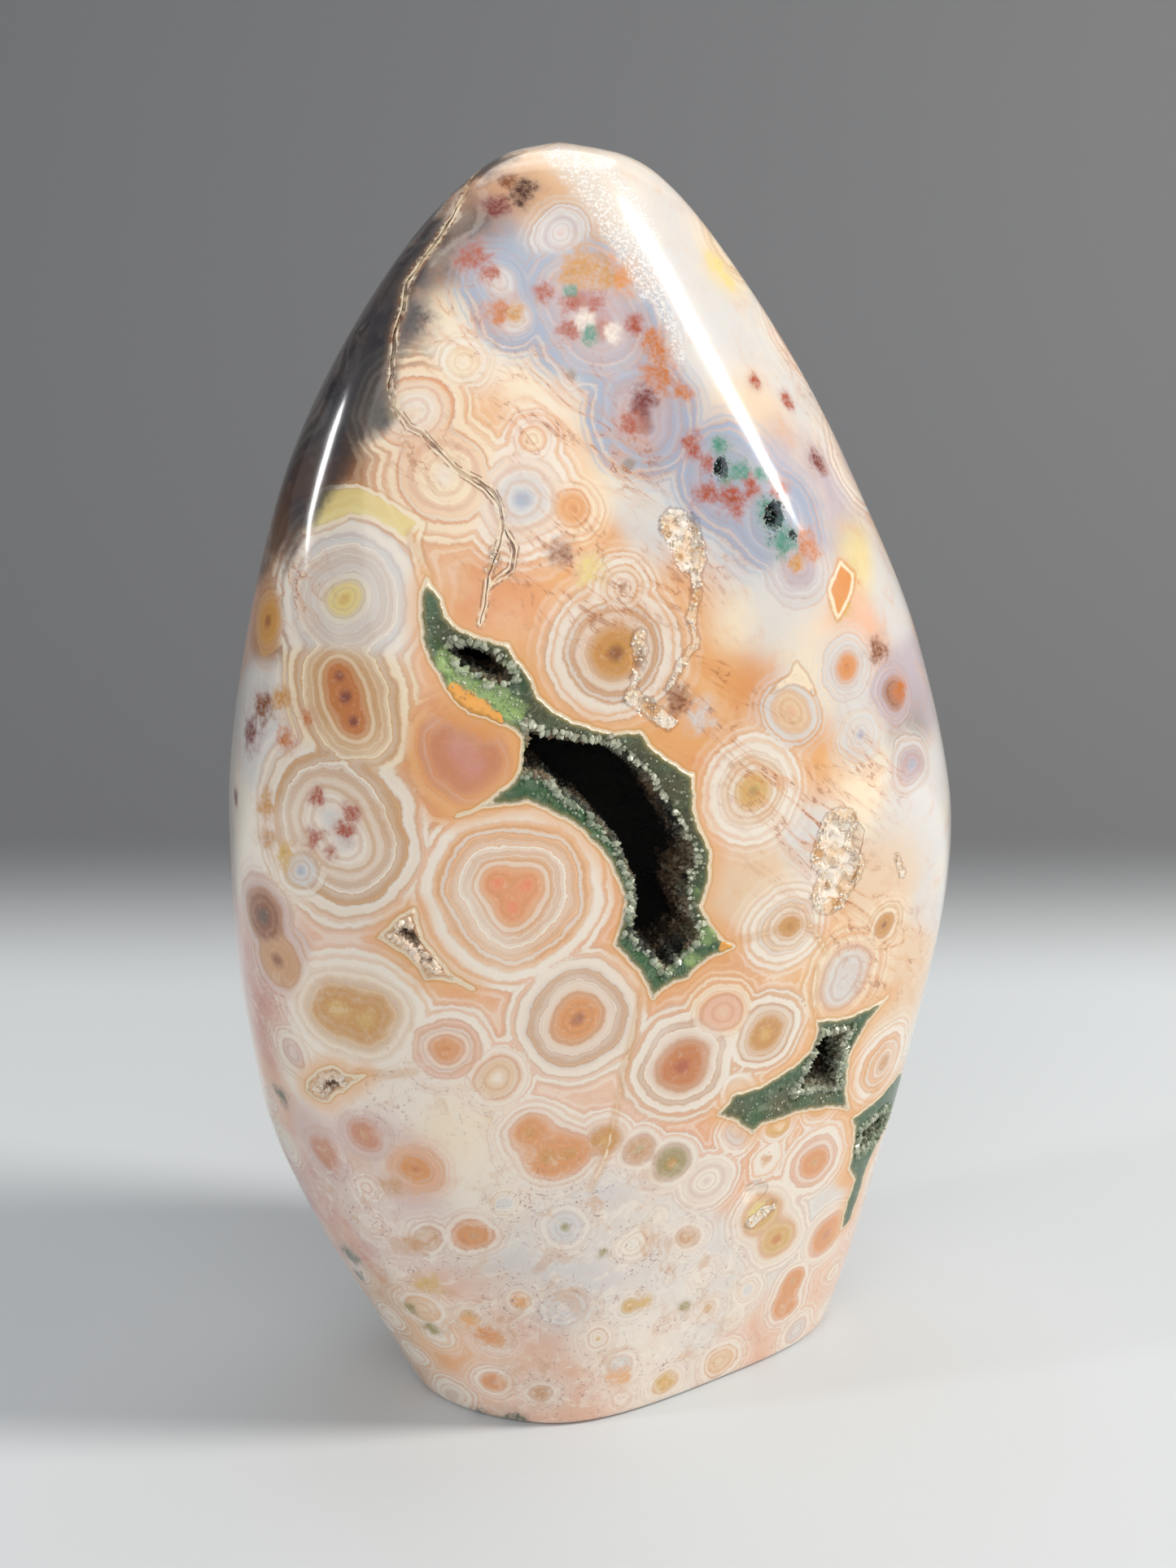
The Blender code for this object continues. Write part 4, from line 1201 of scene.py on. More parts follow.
def ground_field(points):
    """The ground colour at each point, blended from the nearest places."""
    random = np.random.default_rng(RNG_SEED + 1)
    places = placed(GROUNDS)
    shown = np.array([place[0] for place in places])
    spots = scattered(random, 150, 2.0, 146.0, 1.0)
    for spot, facing in zip(spots, camera_facing(spots)):
        if facing > -0.1 or gap_to(shown, spot).min() < 7:
            continue
        reach = random.uniform(6, 10)
        places.append((spot, reach, rgb(HIDDEN_GROUNDS[random.integers(len(HIDDEN_GROUNDS))])))
    total = np.zeros((len(points), 3))
    weight = np.zeros(len(points))
    for middle, reach, tint in places:
        gap = ((points - middle) ** 2).sum(axis=1)
        share = np.exp(-gap / (0.55 * reach * reach)) + 1e-5 / (gap + 1)
        total += share[:, None] * tint
        weight += share
    return total / weight[:, None]


def line_distance(points, line):
    """Distance from each point to a line through the given points."""
    start = line[:-1][None, :, :]
    run = line[1:][None, :, :] - start
    result = []
    for first in range(0, len(points), CHUNK):
        offset = points[first:first + CHUNK, None, :] - start
        share = np.clip((offset * run).sum(-1) / (run * run).sum(-1), 0, 1)
        result.append(np.linalg.norm(offset - share[..., None] * run, axis=-1).min(axis=1))
    return np.concatenate(result)


def near_front(points, outline, margin):
    """Which points of the front half are within the margin of a flat outline's box."""
    flat = points[:, [0, 2]]
    low = outline.min(axis=0) - margin
    high = outline.max(axis=0) + margin
    return ((flat > low) & (flat < high)).all(axis=1) & (points[:, 1] < 4.0)


def patch_distance(points, patches):
    """Distance to the patches, each given by pixels and a half width, below zero in them."""
    nearest = np.full(len(points), FAR)
    lines = seen_groups([pixels for pixels, half in patches])
    for line, (pixels, half) in zip(lines, patches):
        nearest = np.minimum(nearest, line_distance(points, line) - half)
    return nearest


def paint_orbs(mesh, points):
    """Stores, for each point, how far it lies from the orbs, and their blended sizes and colours."""
    lobes, sizes, tints, phases = orb_table()
    warp = np.stack([smooth_noise(points, 9.0, seed) for seed in (1, 2, 3)], axis=1) * 0.4
    bent = (points + warp).astype(np.float32)
    count = len(points)
    groups = len(lobes)
    values = {name: np.empty(count) for name in ("band", "core", "phase", "rim")}
    names = ("core_tint", "heart_tint", "ring_tint", "light_tint")
    tinted = {name: np.empty((count, 3)) for name in names}
    for first in range(0, count, CHUNK):
        part = slice(first, first + CHUNK)
        some = bent[part]
        gap = np.empty((len(some), groups))
        for k, group in enumerate(lobes):
            away = np.linalg.norm(some[:, None, :] - group[None].astype(np.float32), axis=-1)
            close = away.min(axis=1)
            gap[:, k] = close - np.log(np.exp(close[:, None] - away).sum(axis=1))
        edge = gap - sizes[:, 0]
        lowest = edge.min(axis=1)
        share = np.exp(-(edge - lowest[:, None]) / 0.4)
        share /= share.sum(axis=1)[:, None]
        values["band"][part] = lowest
        values["rim"][part] = share @ (0.08 * sizes[:, 0] + 0.22)
        values["phase"][part] = share @ phases
        tinted["ring_tint"][part] = share @ tints[:, 2]
        tinted["light_tint"][part] = share @ tints[:, 3]
        scaled = gap / sizes[:, 1]
        nearest = scaled.min(axis=1)
        share = np.exp(-(scaled - nearest[:, None]) / 0.07)
        share /= share.sum(axis=1)[:, None]
        values["core"][part] = nearest
        tinted["core_tint"][part] = share @ tints[:, 0]
        tinted["heart_tint"][part] = share @ tints[:, 1]
    for name, given in {**values, **tinted}.items():
        store(mesh, name, given)


def paint_tinted(mesh, name, shapes, lowest):
    """Stores the highest value of the shapes at each point, and the colour of the shape that has it."""
    highest = np.full(len(mesh.vertices), lowest)
    tint = np.zeros((len(mesh.vertices), 3))
    for value, colour in shapes:
        higher = value > highest
        highest = np.where(higher, value, highest)
        tint[higher] = colour
    store(mesh, name, highest)
    store(mesh, name + "_tint", tint)


def blotch_shapes(points):
    """Each blotch's closeness to the points, one at its middle, and its colour."""
    for middle, radius, tint in placed(BLOTCHES):
        yield 1 - gap_to(points, middle) / radius, tint
    random = np.random.default_rng(RNG_SEED + 2)
    for middle in hidden_spots(60, 3):
        value = 1 - gap_to(points, middle) / random.uniform(1.2, 3.0)
        yield value, rgb(HIDDEN_BLOTCHES[random.integers(len(HIDDEN_BLOTCHES))])


def window_shapes(points):
    """The points' depth inside each window, and its colour."""
    for pixels, colour in WINDOWS:
        outline = seen(pixels)[:, [0, 2]]
        near = near_front(points, outline, 5.0)
        inside = np.full(len(points), -FAR)
        inside[near] = depth_inside(points[near][:, [0, 2]], outline)
        yield inside, rgb(colour)


def smoke_and_shade_field(points):
    """Depth inside the smoky zone, dark partly from smoky translucence and partly as painted shade, which
    ends unevenly on the side that isn't seen.
    """
    outline = seen(SMOKE_AND_SHADE_EDGE)[:, [0, 2]]
    outline[outline[:, 0] < -45, 0] = -60
    smoke_and_shade = np.full(len(points), -FAR)
    near = near_front(points, outline, 12.0)
    some = points[near]
    behind = 0.6 * (1.0 - some[:, 1])
    unseen = np.clip((some[:, 1] + 13) / 7, 0, 1)
    drift = 3.2 * smooth_noise(some, 17.0, 4) + 1.6 * smooth_noise(some, 6.0, 5)
    depth = np.minimum(depth_inside(some[:, [0, 2]], outline), behind) + drift * unseen
    smoke_and_shade[near] = np.minimum(depth, 1.5 * (1.5 - some[:, 1])) * (1 - 0.55 * unseen)
    return smoke_and_shade


def border_field(points):
    """Distance from the points to the nearest hollow's rim."""
    border = np.full(len(points), 20.0)
    for seed, hollow in enumerate(HOLLOWS.values()):
        view = Frame(hollow["facing"], hollow["middle"])
        outline = fine_outline(hollow, seed)
        flat, height = view.flatten(points)
        low = outline.min(axis=0) - 9
        high = outline.max(axis=0) + 9
        middle_height = view.face_height(outline.mean(axis=0)[None, :])[0]
        near = ((flat > low) & (flat < high)).all(axis=1) & (height > middle_height - 12)
        border[near] = np.minimum(border[near], -depth_inside(flat[near], outline))
    return border


def paint_stone(mesh):
    points = mesh_points(mesh)
    paint_orbs(mesh, points)
    paint_tinted(mesh, "blotch", blotch_shapes(points), -1.0)
    paint_tinted(mesh, "window", window_shapes(points), -FAR)
    for name, lines in (("crack", CRACKS), ("seam", SEAMS)):
        store(mesh, name, np.min([line_distance(points, line) for line in seen_groups(lines)], axis=0))
    store(mesh, "ground", ground_field(points))
    store(mesh, "veined", soft_spots(points, VEINED, 9))
    store(mesh, "mottled", soft_spots(points, MOTTLED, 7))
    store(mesh, "smoke_and_shade", smoke_and_shade_field(points))
    store(mesh, "rough", patch_distance(points, ROUGH))
    store(mesh, "frost_and_highlight", patch_distance(points, FROST_AND_HIGHLIGHT))
    # Painted reflection: how far the smoky zone darkens towards the top, as if mirroring a dark
    # surrounding.
    store(mesh, "dark_reflection_up", np.clip((points[:, 2] - 106) / 16, 0, 1))
    # How far the skin lies below the polished form, for painted shade in recesses.
    store(mesh, "recess_shade_depth", -form_at(points))
    store(mesh, "border", border_field(points))


# Materials.

class Nodes:
    """Short names for making shader nodes."""

    def __init__(self, name):
        self.material = bpy.data.materials.new(name)
        self.material.use_nodes = True
        self.tree = self.material.node_tree
        self.shader = self.tree.nodes["Principled BSDF"]
        self.count = 0
        self.colour = None
        place = self.make("ShaderNodeTexCoord", {}, "Object")
        self.where = self.make("ShaderNodeVectorMath", {0: place, "Scale": 1 / MM}, operation="SCALE")

    def make(self, kind, inputs, output=0, **settings):
        """A node with its inputs linked or set, and one of its outputs."""
        node = self.tree.nodes.new(kind)
        self.count += 1
        node.location = (-250 * (1 + self.count % 12), -180 * (self.count // 12))
        for key, value in settings.items():
            setattr(node, key, value)
        for key, value in inputs.items():
            self.feed(node.inputs[key], value)
        return node.outputs[output]

    def feed(self, socket, value):
        """Links or sets an input. A colour may be given by its name."""
        if isinstance(value, str):
            value = rgb(value)
        if isinstance(value, bpy.types.NodeSocket):
            self.tree.links.new(value, socket)
        elif socket.type == "RGBA":
            socket.default_value = (*value, 1.0)
        else:
            socket.default_value = value

    def finish(self, looks):
        """Sets the named sides of the surface's look, and returns the material."""
        for key, given in looks.items():
            self.feed(self.shader.inputs[key], given)
        return self.material

    def value(self, name):
        return self.make("ShaderNodeAttribute", {}, "Fac", attribute_name=name)

    def tint(self, name):
        return self.make("ShaderNodeAttribute", {}, "Color", attribute_name=name)

    def math(self, operation, a, b=0.0):
        return self.make("ShaderNodeMath", {0: a, 1: b}, operation=operation)

    def times(self, a, b):
        return self.math("MULTIPLY", a, b)

    def plus(self, a, b):
        return self.math("ADD", a, b)

    def centred(self, value, size):
        """A noise moved to lie around zero and scaled."""
        return self.times(self.math("SUBTRACT", value, 0.5), size)

    def crease(self, noise):
        """Zero along the winding lines where a noise passes its middle, and higher beside them."""
        return self.math("ABSOLUTE", self.centred(noise, 1.0))

    def mix_value(self, share, a, b):
        """From a to b as the share goes from zero to one."""
        return self.plus(self.times(share, b - a), a)

    def step(self, value, low, high, to_low=0.0, to_high=1.0):
        """Smoothly from to_low to to_high as the value goes from low to high."""
        inputs = {"Value": value, "From Min": low, "From Max": high, "To Min": to_low, "To Max": to_high}
        return self.make("ShaderNodeMapRange", inputs, "Result", interpolation_type="SMOOTHSTEP")

    def line(self, value, middle, half):
        """One near the middle, and zero beyond half to either side."""
        gap = self.math("ABSOLUTE", self.math("SUBTRACT", value, middle))
        return self.step(gap, 0.35 * half, half, 1.0, 0.0)

    def mix(self, share, a, b):
        return self.make("ShaderNodeMix", {"Factor": share, 6: a, 7: b}, 2, data_type="RGBA")

    def paint(self, share, tint, strength=None):
        """Lays a tint over the colour so far, by a share that a strength may weaken."""
        if strength is not None:
            share = self.times(share, strength)
        self.colour = self.mix(share, self.colour, tint)

    def noise(self, scale, detail=3.0, rough=0.5, distortion=0.0, where=None):
        inputs = {
            "Vector": self.where if where is None else where,
            "Scale": scale, "Detail": detail, "Roughness": rough, "Distortion": distortion,
        }
        return self.make("ShaderNodeTexNoise", inputs, "Fac")

    def noise_along(self, coordinate, scale):
        inputs = {"W": coordinate, "Scale": scale, "Detail": 1.0, "Roughness": 0.5}
        return self.make("ShaderNodeTexNoise", inputs, "Fac", noise_dimensions="1D")

    def cells(self, scale):
        return self.make("ShaderNodeTexVoronoi", {"Vector": self.where, "Scale": scale}, "Distance")

    def across_rim(self):
        """A place along the rim of a hollow, with its distance from the jasper drawn out."""
        scales = enumerate((("along", 3.2), ("inside", 0.8), ("down", 0.8)))
        inputs = {place: self.times(self.value(name), scale) for place, (name, scale) in scales}
        return self.make("ShaderNodeCombineXYZ", inputs)

    def stretched(self, turn, scale):
        inputs = {"Vector": self.where, "Rotation": turn, "Scale": scale}
        return self.make("ShaderNodeMapping", inputs, vector_type="TEXTURE")

    def bump(self, height, strength, distance):
        inputs = {"Height": height, "Strength": strength, "Distance": distance}
        return self.make("ShaderNodeBump", inputs, "Normal")


def jasper_material():
    n = Nodes("polished_orb_jasper")
    wobble = n.centred(n.noise(0.55, 3.0), 1.0)
    fine_wobble = n.centred(n.noise(2.6, 2.0), 0.3)
    shift = n.plus(wobble, fine_wobble)
    band = n.plus(n.value("band"), shift)
    core = n.plus(n.value("core"), n.times(shift, 0.26))
    phase = n.value("phase")
    rim = n.value("rim")
    light = n.tint("light_tint")
    ring = n.tint("ring_tint")
    ground = n.tint("ground")
    dark_ring = n.mix(0.55, ring, "fawn")

    ground = n.mix(n.step(n.noise(0.13, 4.0, 0.6), 0.45, 0.75, 0.0, 0.35), ground, "cream")
    ground = n.mix(n.step(n.noise(0.3, 4.0, 0.62), 0.5, 0.8, 0.0, 0.35), ground, "orange")
    away = n.step(band, 0.1, 2.4, 0.3, 0.0)
    ground = n.mix(away, ground, light)

    depth = n.math("DIVIDE", band, rim)
    coordinate = n.plus(band, phase)
    broad = n.step(n.noise_along(coordinate, 0.72), 0.36, 0.62)
    rings = n.mix(n.times(broad, 0.75), light, ring)
    ridge = n.crease(n.noise_along(coordinate, 1.5))
    rings = n.mix(n.step(ridge, 0.01, 0.09, 0.4, 0.0), rings, dark_ring)
    hair = n.crease(n.noise_along(coordinate, 3.2))
    rings = n.mix(n.step(hair, 0.02, 0.11, 0.3, 0.0), rings, dark_ring)
    pearl = n.step(n.noise_along(coordinate, 1.0), 0.56, 0.66, 0.0, 0.4)
    rings = n.mix(pearl, rings, "milk")
    veil = n.noise(0.085, 3.0, 0.5, 0.5)
    rings = n.mix(n.step(veil, 0.48, 0.68, 0.0, 0.35), rings, light)
    rings = n.mix(n.step(veil, 0.46, 0.32, 0.0, 0.3), rings, ring)
    rings = n.mix(n.times(n.line(depth, -2.0, 0.85), 0.85), rings, light)
    rings = n.mix(n.times(n.line(depth, -1.05, 0.34), 0.6), rings, ground)
    rings = n.mix(n.times(n.line(depth, -0.45, 0.4), 0.75), rings, light)
    n.colour = n.mix(n.step(band, -0.14, 0.12, 1.0, 0.0), ground, rings)
    n.paint(n.line(depth, 0.15, 0.3), dark_ring, 0.22)
    n.paint(n.line(depth, 0.9, 0.34), light, 0.4)
    n.paint(n.line(depth, 2.4, 0.5), light, 0.2)

    grain = n.noise(1.6, 4.0, 0.7)
    mottled = n.value("mottled")
    dots = n.times(n.line(depth, -0.6, 0.3), n.step(n.noise(1.5, 2.0), 0.5, 0.58))
    n.paint(mottled, n.mix(0.35, ground, "lilac"), 0.6)
    n.paint(n.times(dots, mottled), "mauve", 0.6)
    core_tint = n.tint("core_tint")
    core_colour = n.mix(n.step(core, 0.1, 0.5, 0.9, 0.0), core_tint, n.tint("heart_tint"))
    core_colour = n.mix(n.step(grain, 0.5, 0.75, 0.0, 0.3), core_colour, light)
    core_colour = n.mix(n.times(n.line(core, 0.6, 0.12), 0.3), core_colour, dark_ring)
    n.paint(n.step(core, 1.0, 1.6, 0.35, 0.0), core_tint)
    n.paint(n.step(core, 0.66, 1.06, 0.92, 0.0), core_colour)
    n.paint(n.line(core, 1.06, 0.1), dark_ring, 0.2)
    n.paint(n.line(core, 1.3, 0.18), light, 0.5)
    n.paint(n.line(core, 1.52, 0.08), dark_ring, 0.18)

    patches = n.noise(0.4, 6.0, 0.66, 0.6)
    n.paint(n.times(mottled, n.step(patches, 0.5, 0.62, 0.0, 0.75)), "white")
    warm = n.noise(0.27, 5.0, 0.6, 0.5)
    n.paint(n.times(mottled, n.step(warm, 0.54, 0.66, 0.0, 0.6)), "tan")
    contour = n.crease(n.noise(0.24, 4.0, 0.62, 0.4))
    dashes = n.step(n.noise(2.1, 2.0, 0.6), 0.5, 0.6)
    fleck = n.times(n.step(contour, 0.002, 0.016, 1.0, 0.0), dashes)
    n.paint(n.times(fleck, mottled), "mauve", 0.7)
    specks = n.step(n.cells(1.3), 0.1, 0.2, 1.0, 0.0)
    specks = n.times(specks, n.step(n.noise(0.3, 2.0), 0.52, 0.6))
    n.paint(n.times(specks, mottled), "brown", 0.6)

    veined = n.value("veined")
    slanted = n.stretched((0.0, 0.72, 0.0), (3.2, 1.0, 0.8))
    crease = n.crease(n.noise(0.26, 4.0, 0.6, 0.6, slanted))
    vein = n.times(n.step(crease, 0.003, 0.026, 1.0, 0.0), n.step(n.noise(1.1, 3.0), 0.44, 0.58))
    stain = n.times(n.step(crease, 0.01, 0.09, 1.0, 0.0), 0.5)
    n.paint(n.times(stain, veined), "orange")
    n.paint(n.times(vein, veined), "rust", 0.85)

    broken = n.centred(n.noise(0.62, 5.0, 0.66), 2.2)
    blotch = n.plus(n.value("blotch"), broken)
    blotch_tint = n.tint("blotch_tint")
    pale_tint = n.mix(0.5, blotch_tint, "lilac")
    n.paint(n.step(blotch, -0.4, 0.5, 0.0, 0.4), pale_tint)
    crumbs = n.step(n.noise(1.9, 4.0, 0.65), 0.38, 0.62, 1.0, 0.55)
    n.paint(n.times(n.step(blotch, 0.1, 0.75), crumbs), blotch_tint)
    n.paint(n.step(blotch, 0.8, 1.3, 0.0, 0.4), n.mix(0.6, blotch_tint, "dark brown"))
    # Painted shade: skin sunk well below the polished form, as in the teal pits, turns nearly black teal.
    recess_shade_depth = n.value("recess_shade_depth")
    n.paint(n.step(recess_shade_depth, 0.75, 1.5, 0.0, 0.96), (0.012, 0.03, 0.026))

    window = n.plus(n.value("window"), n.centred(n.noise(0.9, 3.0), 0.5))
    n.paint(n.step(window, 0.1, 0.5, 0.0, 0.85), n.tint("window_tint"))
    n.paint(n.line(window, 0.1, 0.28), "cream", 0.9)
    n.paint(n.line(window, -0.3, 0.2), "ochre", 0.4)
    seam = n.plus(n.value("seam"), n.math("ABSOLUTE", n.times(fine_wobble, 0.5)))
    n.paint(n.step(seam, 0.3, 0.9, 0.35, 0.0), "ochre")
    n.paint(n.step(seam, 0.1, 0.24, 0.85, 0.0), "cream")

    # The smoky zone: a smoky colour, dark partly as painted shade behind the healed crack, and its slate
    # and dark blue partly a painted reflection of a dark surrounding.
    smoke_and_shade = n.plus(n.value("smoke_and_shade"), n.centred(n.noise(0.25, 4.0, 0.6), 2.6))
    smoke_and_shade_tint = n.mix(n.step(n.noise(0.11, 3.0, 0.5, 0.4), 0.42, 0.62), "umber", "slate")
    smoke_and_shade_tint = n.mix(n.step(n.noise(0.3, 3.0, 0.5), 0.52, 0.7, 0.0, 0.45), smoke_and_shade_tint, "grey")
    # Painted reflection: the smoky colour turns dark blue towards the top.
    smoke_and_shade_tint = n.mix(n.times(n.value("dark_reflection_up"), 0.85), smoke_and_shade_tint, "dark_reflection_blue")
    n.paint(n.step(smoke_and_shade, -0.4, 1.0, 0.0, 0.88), smoke_and_shade_tint)
    # White frosty veins with white specks, partly a painted highlight and sparkle along the crest.
    frost_and_highlight = n.plus(n.value("frost_and_highlight"), n.centred(n.noise(0.7, 4.0, 0.7), 3.0))
    specks = n.step(n.noise(2.8, 4.0, 0.75), 0.5, 0.56)
    n.paint(n.step(frost_and_highlight, -1.2, 1.4, 0.5, 0.0), "milk")
    n.paint(n.times(n.step(frost_and_highlight, -0.6, 0.8, 0.8, 0.0), specks), "snow")

    border = n.plus(n.value("border"), n.times(fine_wobble, 0.35))
    n.paint(n.step(border, 0.3, 2.6, 0.6, 0.0), "peach")
    n.paint(n.line(border, 0.32, 0.2), n.mix(0.6, "ochre", n.colour))
    n.paint(n.step(border, 0.08, 0.26, 0.85, 0.0), "cream")

    crack = n.plus(n.value("crack"), n.times(fine_wobble, 0.5))
    crumb = n.times(n.step(crack, 0.2, 0.7, 1.0, 0.0), n.step(n.noise(1.7, 3.0), 0.46, 0.6))
    n.paint(n.step(crack, 0.2, 1.3, 0.4, 0.0), n.mix(0.5, "tan", n.colour))
    n.paint(crumb, "cream", 0.8)
    n.paint(n.step(crack, 0.16, 0.34, 0.9, 0.0), "cream")
    shadow = n.times(n.line(crack, 0.42, 0.14), n.step(n.noise(0.7, 2.0), 0.46, 0.56))
    n.paint(shadow, "brown", 0.7)

    rough = n.plus(n.value("rough"), n.centred(n.noise(1.1, 4.0, 0.7), 1.2))
    chipped = n.step(rough, -0.1, 0.1, 1.0, 0.0)
    sugar = n.mix(n.step(n.noise(0.5, 4.0, 0.6), 0.42, 0.6), "white", "pale")
    sugar = n.mix(n.step(n.noise(0.36, 3.0, 0.6), 0.55, 0.62, 0.0, 0.8), sugar, "ochre")
    veinlet = n.crease(n.noise(0.5, 4.0, 0.6, 0.5))
    sugar = n.mix(n.step(veinlet, 0.005, 0.025, 0.6, 0.0), sugar, "brown")
    n.paint(chipped, sugar, 0.9)
    n.paint(n.line(rough, 0.15, 0.2), "brown", 0.35)

    polish = n.noise(0.2, 2.0, 0.5)
    scratch = n.noise(1.6, 2.0, where=n.stretched((0.2, 0.9, 0.4), (0.12, 1.0, 4.0)))
    relief = n.plus(n.times(polish, 0.5), n.times(scratch, 0.02))
    jagged = n.times(n.math("MAXIMUM", chipped, crumb), n.noise(1.6, 4.0, 0.7))
    relief = n.plus(relief, n.times(jagged, 3.5))
    return n.finish({
        "Base Color": n.colour,
        "Roughness": n.mix_value(chipped, 0.14, 0.55),
        "IOR": QUARTZ_IOR,
        "Coat Weight": n.mix_value(chipped, 0.6, 0.0),
        "Coat Roughness": 0.07,
        "Subsurface Weight": 0.2,
        "Subsurface Radius": (1.0, 0.6, 0.4),
        "Subsurface Scale": 0.0012,
        "Normal": n.bump(relief, 0.1, 0.0006),
    })


def crust_material(name, colours):
    """Quartz lining: a band by the distance from the jasper, darker with depth as painted shade over the
    walls' brown, and painted glints that pale crystals towards the tip colour.
    """
    n = Nodes(name)
    fibres = n.noise(1.0, 3.0, 0.6, where=n.across_rim())
    inside = n.plus(n.value("inside"), n.centred(fibres, 0.5))
    down = n.value("down")
    glint = n.value("glint")
    bright = n.value("bright")
    n.colour = n.mix(n.step(inside, 0.05, 0.3), "cream", colours["line"])
    rim = n.mix(n.value("olive"), colours["rim"], colours["olive"])
    n.paint(n.step(inside, 0.2, 0.75), rim)
    n.paint(n.step(fibres, 0.5, 0.68, 0.0, 0.4), n.mix(0.5, rim, colours["tip"]))
    n.paint(n.step(fibres, 0.46, 0.3, 0.0, 0.5), colours["deep"])
    misty = n.step(n.noise(0.5, 4.0, 0.6), 0.5, 0.72, 0.0, 0.3)
    n.paint(misty, colours["mist"])
    patchy = n.plus(bright, n.centred(n.noise(0.8, 4.0, 0.6), 0.9))
    n.paint(n.step(patchy, 0.35, 0.7, 0.0, 0.8), colours["bright"])
    amber = n.plus(n.value("amber"), n.centred(n.noise(0.9, 3.0, 0.6), 0.5))
    n.paint(n.step(amber, 0.4, 0.6), "amber")
    n.paint(glint, colours["tip"], 0.75)
    # Darker with depth: the walls' brown mixed with painted shade, then painted shade that turns the
    # deepest parts nearly black.
    wall = n.mix(n.step(n.noise(0.2, 2.0), 0.4, 0.6), colours["deep"], colours["wall"])
    n.paint(n.step(down, 0.9, 4.5), wall)
    n.paint(n.step(down, 5.0, 9.0), colours["deep"])
    return n.finish({
        "Base Color": n.colour,
        "Roughness": n.step(down, 1.0, 5.0, 0.26, 1.0),
        "IOR": QUARTZ_IOR,
        "Coat Weight": n.step(down, 0.5, 3.0, 0.25, 0.0),
        "Coat Roughness": 0.05,
        "Subsurface Weight": 0.1,
        "Subsurface Radius": (0.8, 1.0, 0.7),
        "Subsurface Scale": 0.001,
        "Normal": n.bump(n.noise(2.4, 3.0, 0.6), 0.25, 0.0003),
    })


def sugar_material():
    """Broken quartz: white to honey, with teal grains in the teal pits."""
    n = Nodes("sugary_quartz")
    n.colour = n.mix(n.step(n.noise(0.6, 3.0), 0.42, 0.6), "white", "cream")
    n.paint(n.step(n.noise(0.45, 3.0), 0.55, 0.65, 0.0, 0.7), "gold")
    n.paint(n.value("glint"), "white", 0.4)
    n.paint(n.value("teal"), n.mix(n.value("glint"), "teal", "milk"))
    return n.finish({
        "Base Color": n.colour,
        "Roughness": 0.25,
        "IOR": QUARTZ_IOR,
        "Subsurface Weight": 0.2,
        "Subsurface Radius": (1.0, 0.8, 0.6),
        "Subsurface Scale": 0.0008,
    })


# The stage.

def area_light(name, place, target, size, power, colour=(1.0, 1.0, 1.0)):
    light = bpy.data.lights.new(name, "AREA")
    light.shape = "ELLIPSE"
    light.size, light.size_y = size
    light.energy = power
    light.color = colour
    lamp = bpy.data.objects.new(name, light)
    lamp.location = place
    lamp.rotation_euler = (Vector(target) - Vector(place)).to_track_quat("-Z", "Y").to_euler()
    bpy.context.scene.collection.objects.link(lamp)


def paper_material():
    """Pale paper, with painted shade that turns it grey up the wall."""
    n = Nodes("pale_paper")
    back = n.make("ShaderNodeSeparateXYZ", {0: n.where}, 1)
    # Painted shade: the paper turns grey as it goes back and up the wall.
    shade = n.step(back, 118.0, 200.0)
    colour = n.mix(shade, (0.63, 0.665, 0.69), (0.145, 0.15, 0.158))
    return n.finish({"Base Color": colour, "Roughness": 0.75})


def backdrop():
    """A pale floor that curves up into a plain wall behind the stone."""
    wide = 2600.0
    front = -1500.0
    bend = 130.0
    radius = 330.0
    top = 2200.0
    profile = [(front, 0.0)]
    for i in range(25):
        turn = math.pi / 2 * i / 24
        profile.append((bend + radius * math.sin(turn), radius * (1 - math.cos(turn))))
    profile.append((bend + radius, top))
    points = []
    for y, z in profile:
        points += [(-wide, y, z), (wide, y, z)]
    faces = [(2 * i, 2 * i + 1, 2 * i + 3, 2 * i + 2) for i in range(len(profile) - 1)]
    floor = link("floor", points, faces)
    floor.rotation_euler = (0.0, 0.0, -TURN)
    shade_smooth(floor.data)
    floor.data.materials.append(paper_material())


def stage():
    backdrop()
    bpy.context.scene.view_settings.view_transform = "Standard"
    world = bpy.data.worlds.new("studio")
    world.use_nodes = True
    world.node_tree.nodes["Background"].inputs["Color"].default_value = (0.94, 0.96, 1.0, 1.0)
    world.node_tree.nodes["Background"].inputs["Strength"].default_value = 0.26
    bpy.context.scene.world = world
    middle = (0.0, 0.0, 0.09)
    area_light("key_strip", (0.62, -0.28, 0.62), middle, (0.13, 0.52), 6.7, (1.0, 0.955, 0.89))
    area_light("back_fill", (0.1, 0.28, 0.85), middle, (0.7, 0.7), 2.0)
    area_light("left_strip", (-0.6, -0.04, 0.33), middle, (0.05, 0.2), 0.7)
    area_light("front_fill", (-0.3, -1.15, 0.85), middle, (1.7, 1.7), 7.6, (1.0, 0.97, 0.94))


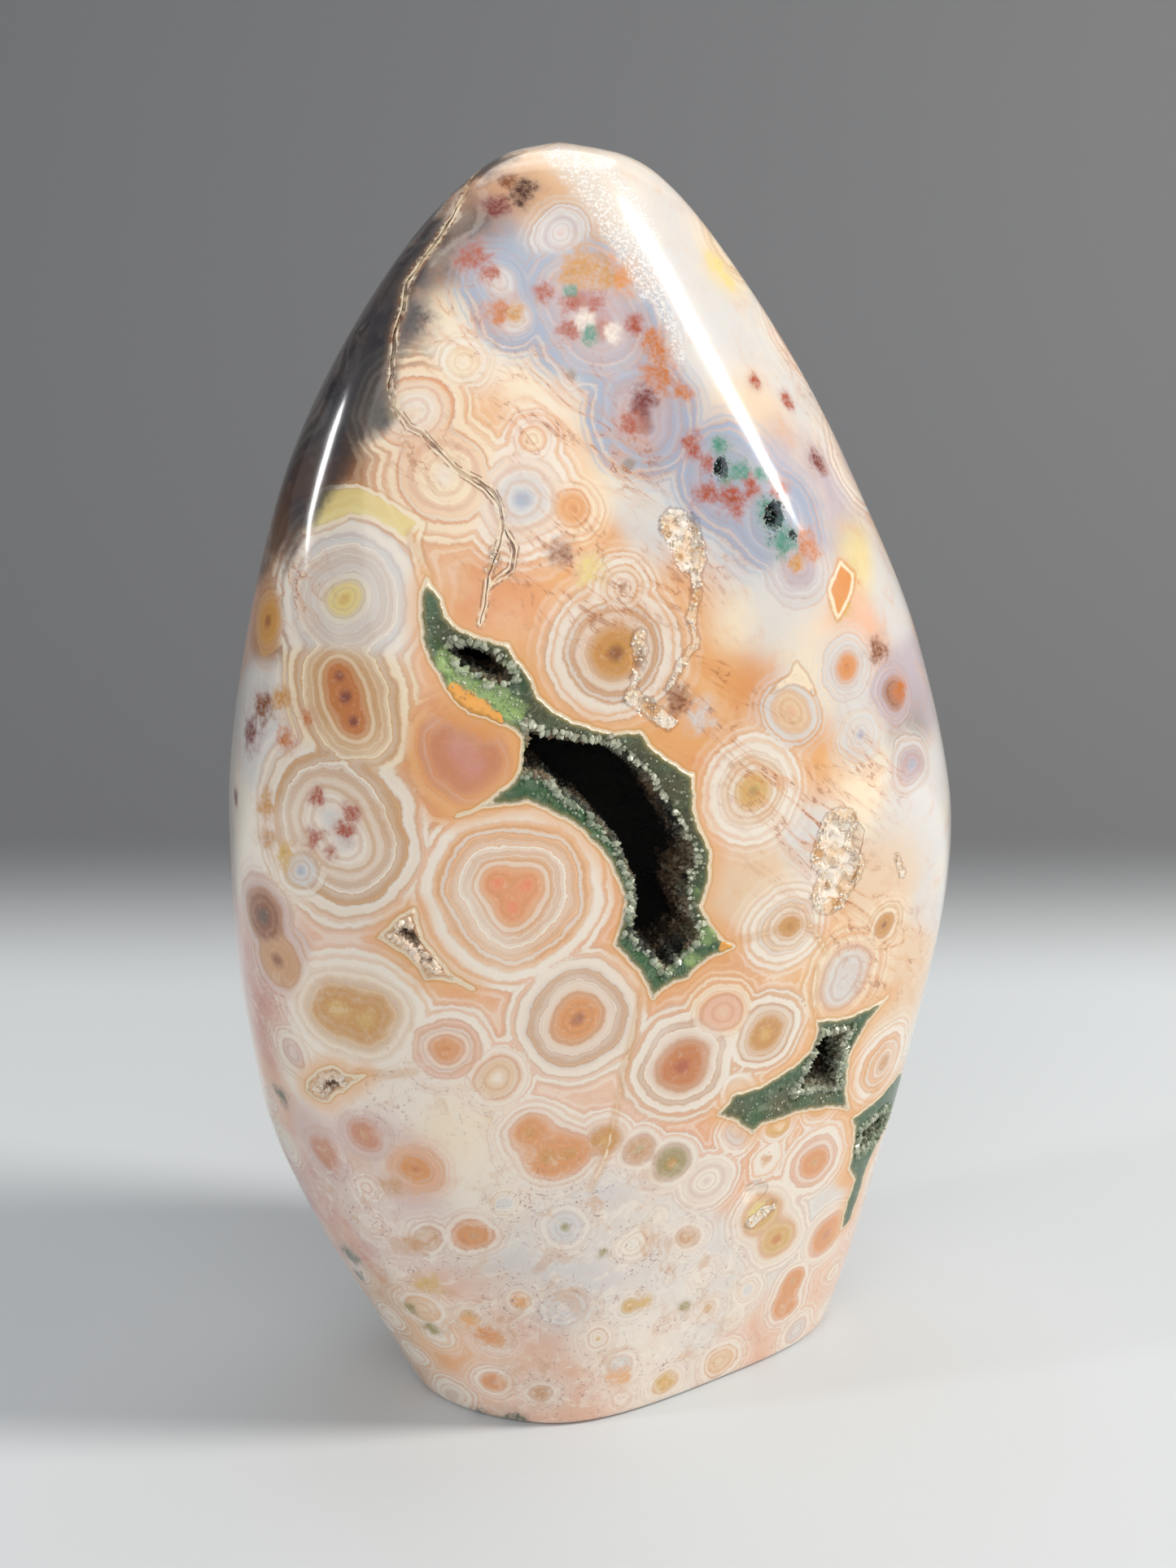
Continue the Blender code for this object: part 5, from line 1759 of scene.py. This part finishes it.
def photo_camera():
    camera = bpy.data.cameras.new("photo_camera")
    camera.sensor_width = 36.0
    camera.lens = camera.sensor_width / 2 / math.tan(LONG_SIDE_VIEW / 2)
    holder = bpy.data.objects.new("photo_camera", camera)
    holder.location = Vector(CAMERA_AT) * MM
    holder.rotation_euler = (math.pi / 2 - PITCH, 0.0, -TURN)
    bpy.context.scene.collection.objects.link(holder)
    bpy.context.scene.camera = holder


def dress(piece, material, slot, node=None):
    """Gives a piece its material and body, and hides the CAD node that it replaces. The slot is not used.
    """
    piece.data.materials.clear()
    piece.data.materials.append(material)
    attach(piece, "root")
    if node:
        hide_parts(node)


def main():
    photo_camera()
    stage()
    stone = stone_mesh(SKIN_LEVELS, SKIN_TURNS)
    for seed, hollow in enumerate(HOLLOWS.values()):
        cut_hollow(stone, hollow, seed)
    for pit in PITS.values():
        cut_pit(stone, *pit)
    for seed, line in enumerate(seen_groups(CRACKS)):
        cut_crack(stone, line, 30 + seed)
    paint_stone(stone.data)
    shade_smooth(stone.data)
    stone.data.set_sharp_from_angle(angle=SHARP_EDGE)
    dress(stone, jasper_material(), "polished_jasper", "stone")
    dress(sugar_piece(stone.data), sugar_material(), "white_quartz")
    # Each lining's wall and deep colours darken it with depth: the walls' own brown, and painted shade
    # deep in the hollows; the deep colour also marks dark fibres.
    green = crust_material("prase_crust", {
        "line": rgb("olive") * 0.7, "rim": (0.034, 0.1, 0.036), "mist": (0.12, 0.16, 0.08),
        "tip": (0.62, 0.64, 0.5), "bright": (0.32, 0.46, 0.16), "olive": (0.095, 0.082, 0.028),
        "wall": (0.14, 0.085, 0.045), "deep": (0.006, 0.005, 0.004),
    })
    white = crust_material("quartz_crust", {
        "line": "tan", "rim": "pale", "mist": "tan", "tip": "white", "bright": "cream", "olive": "pale",
        "wall": (0.2, 0.07, 0.04), "deep": (0.07, 0.025, 0.015),
    })
    for seed, (name, hollow) in enumerate(HOLLOWS.items()):
        deep = hollow["mouth_depth"] > GREEN_DEPTH
        look, slot = (green, "green_quartz") if deep else (white, "white_quartz")
        dress(crust_piece(name, hollow, seed), look, slot, "crust_" + name)


main()
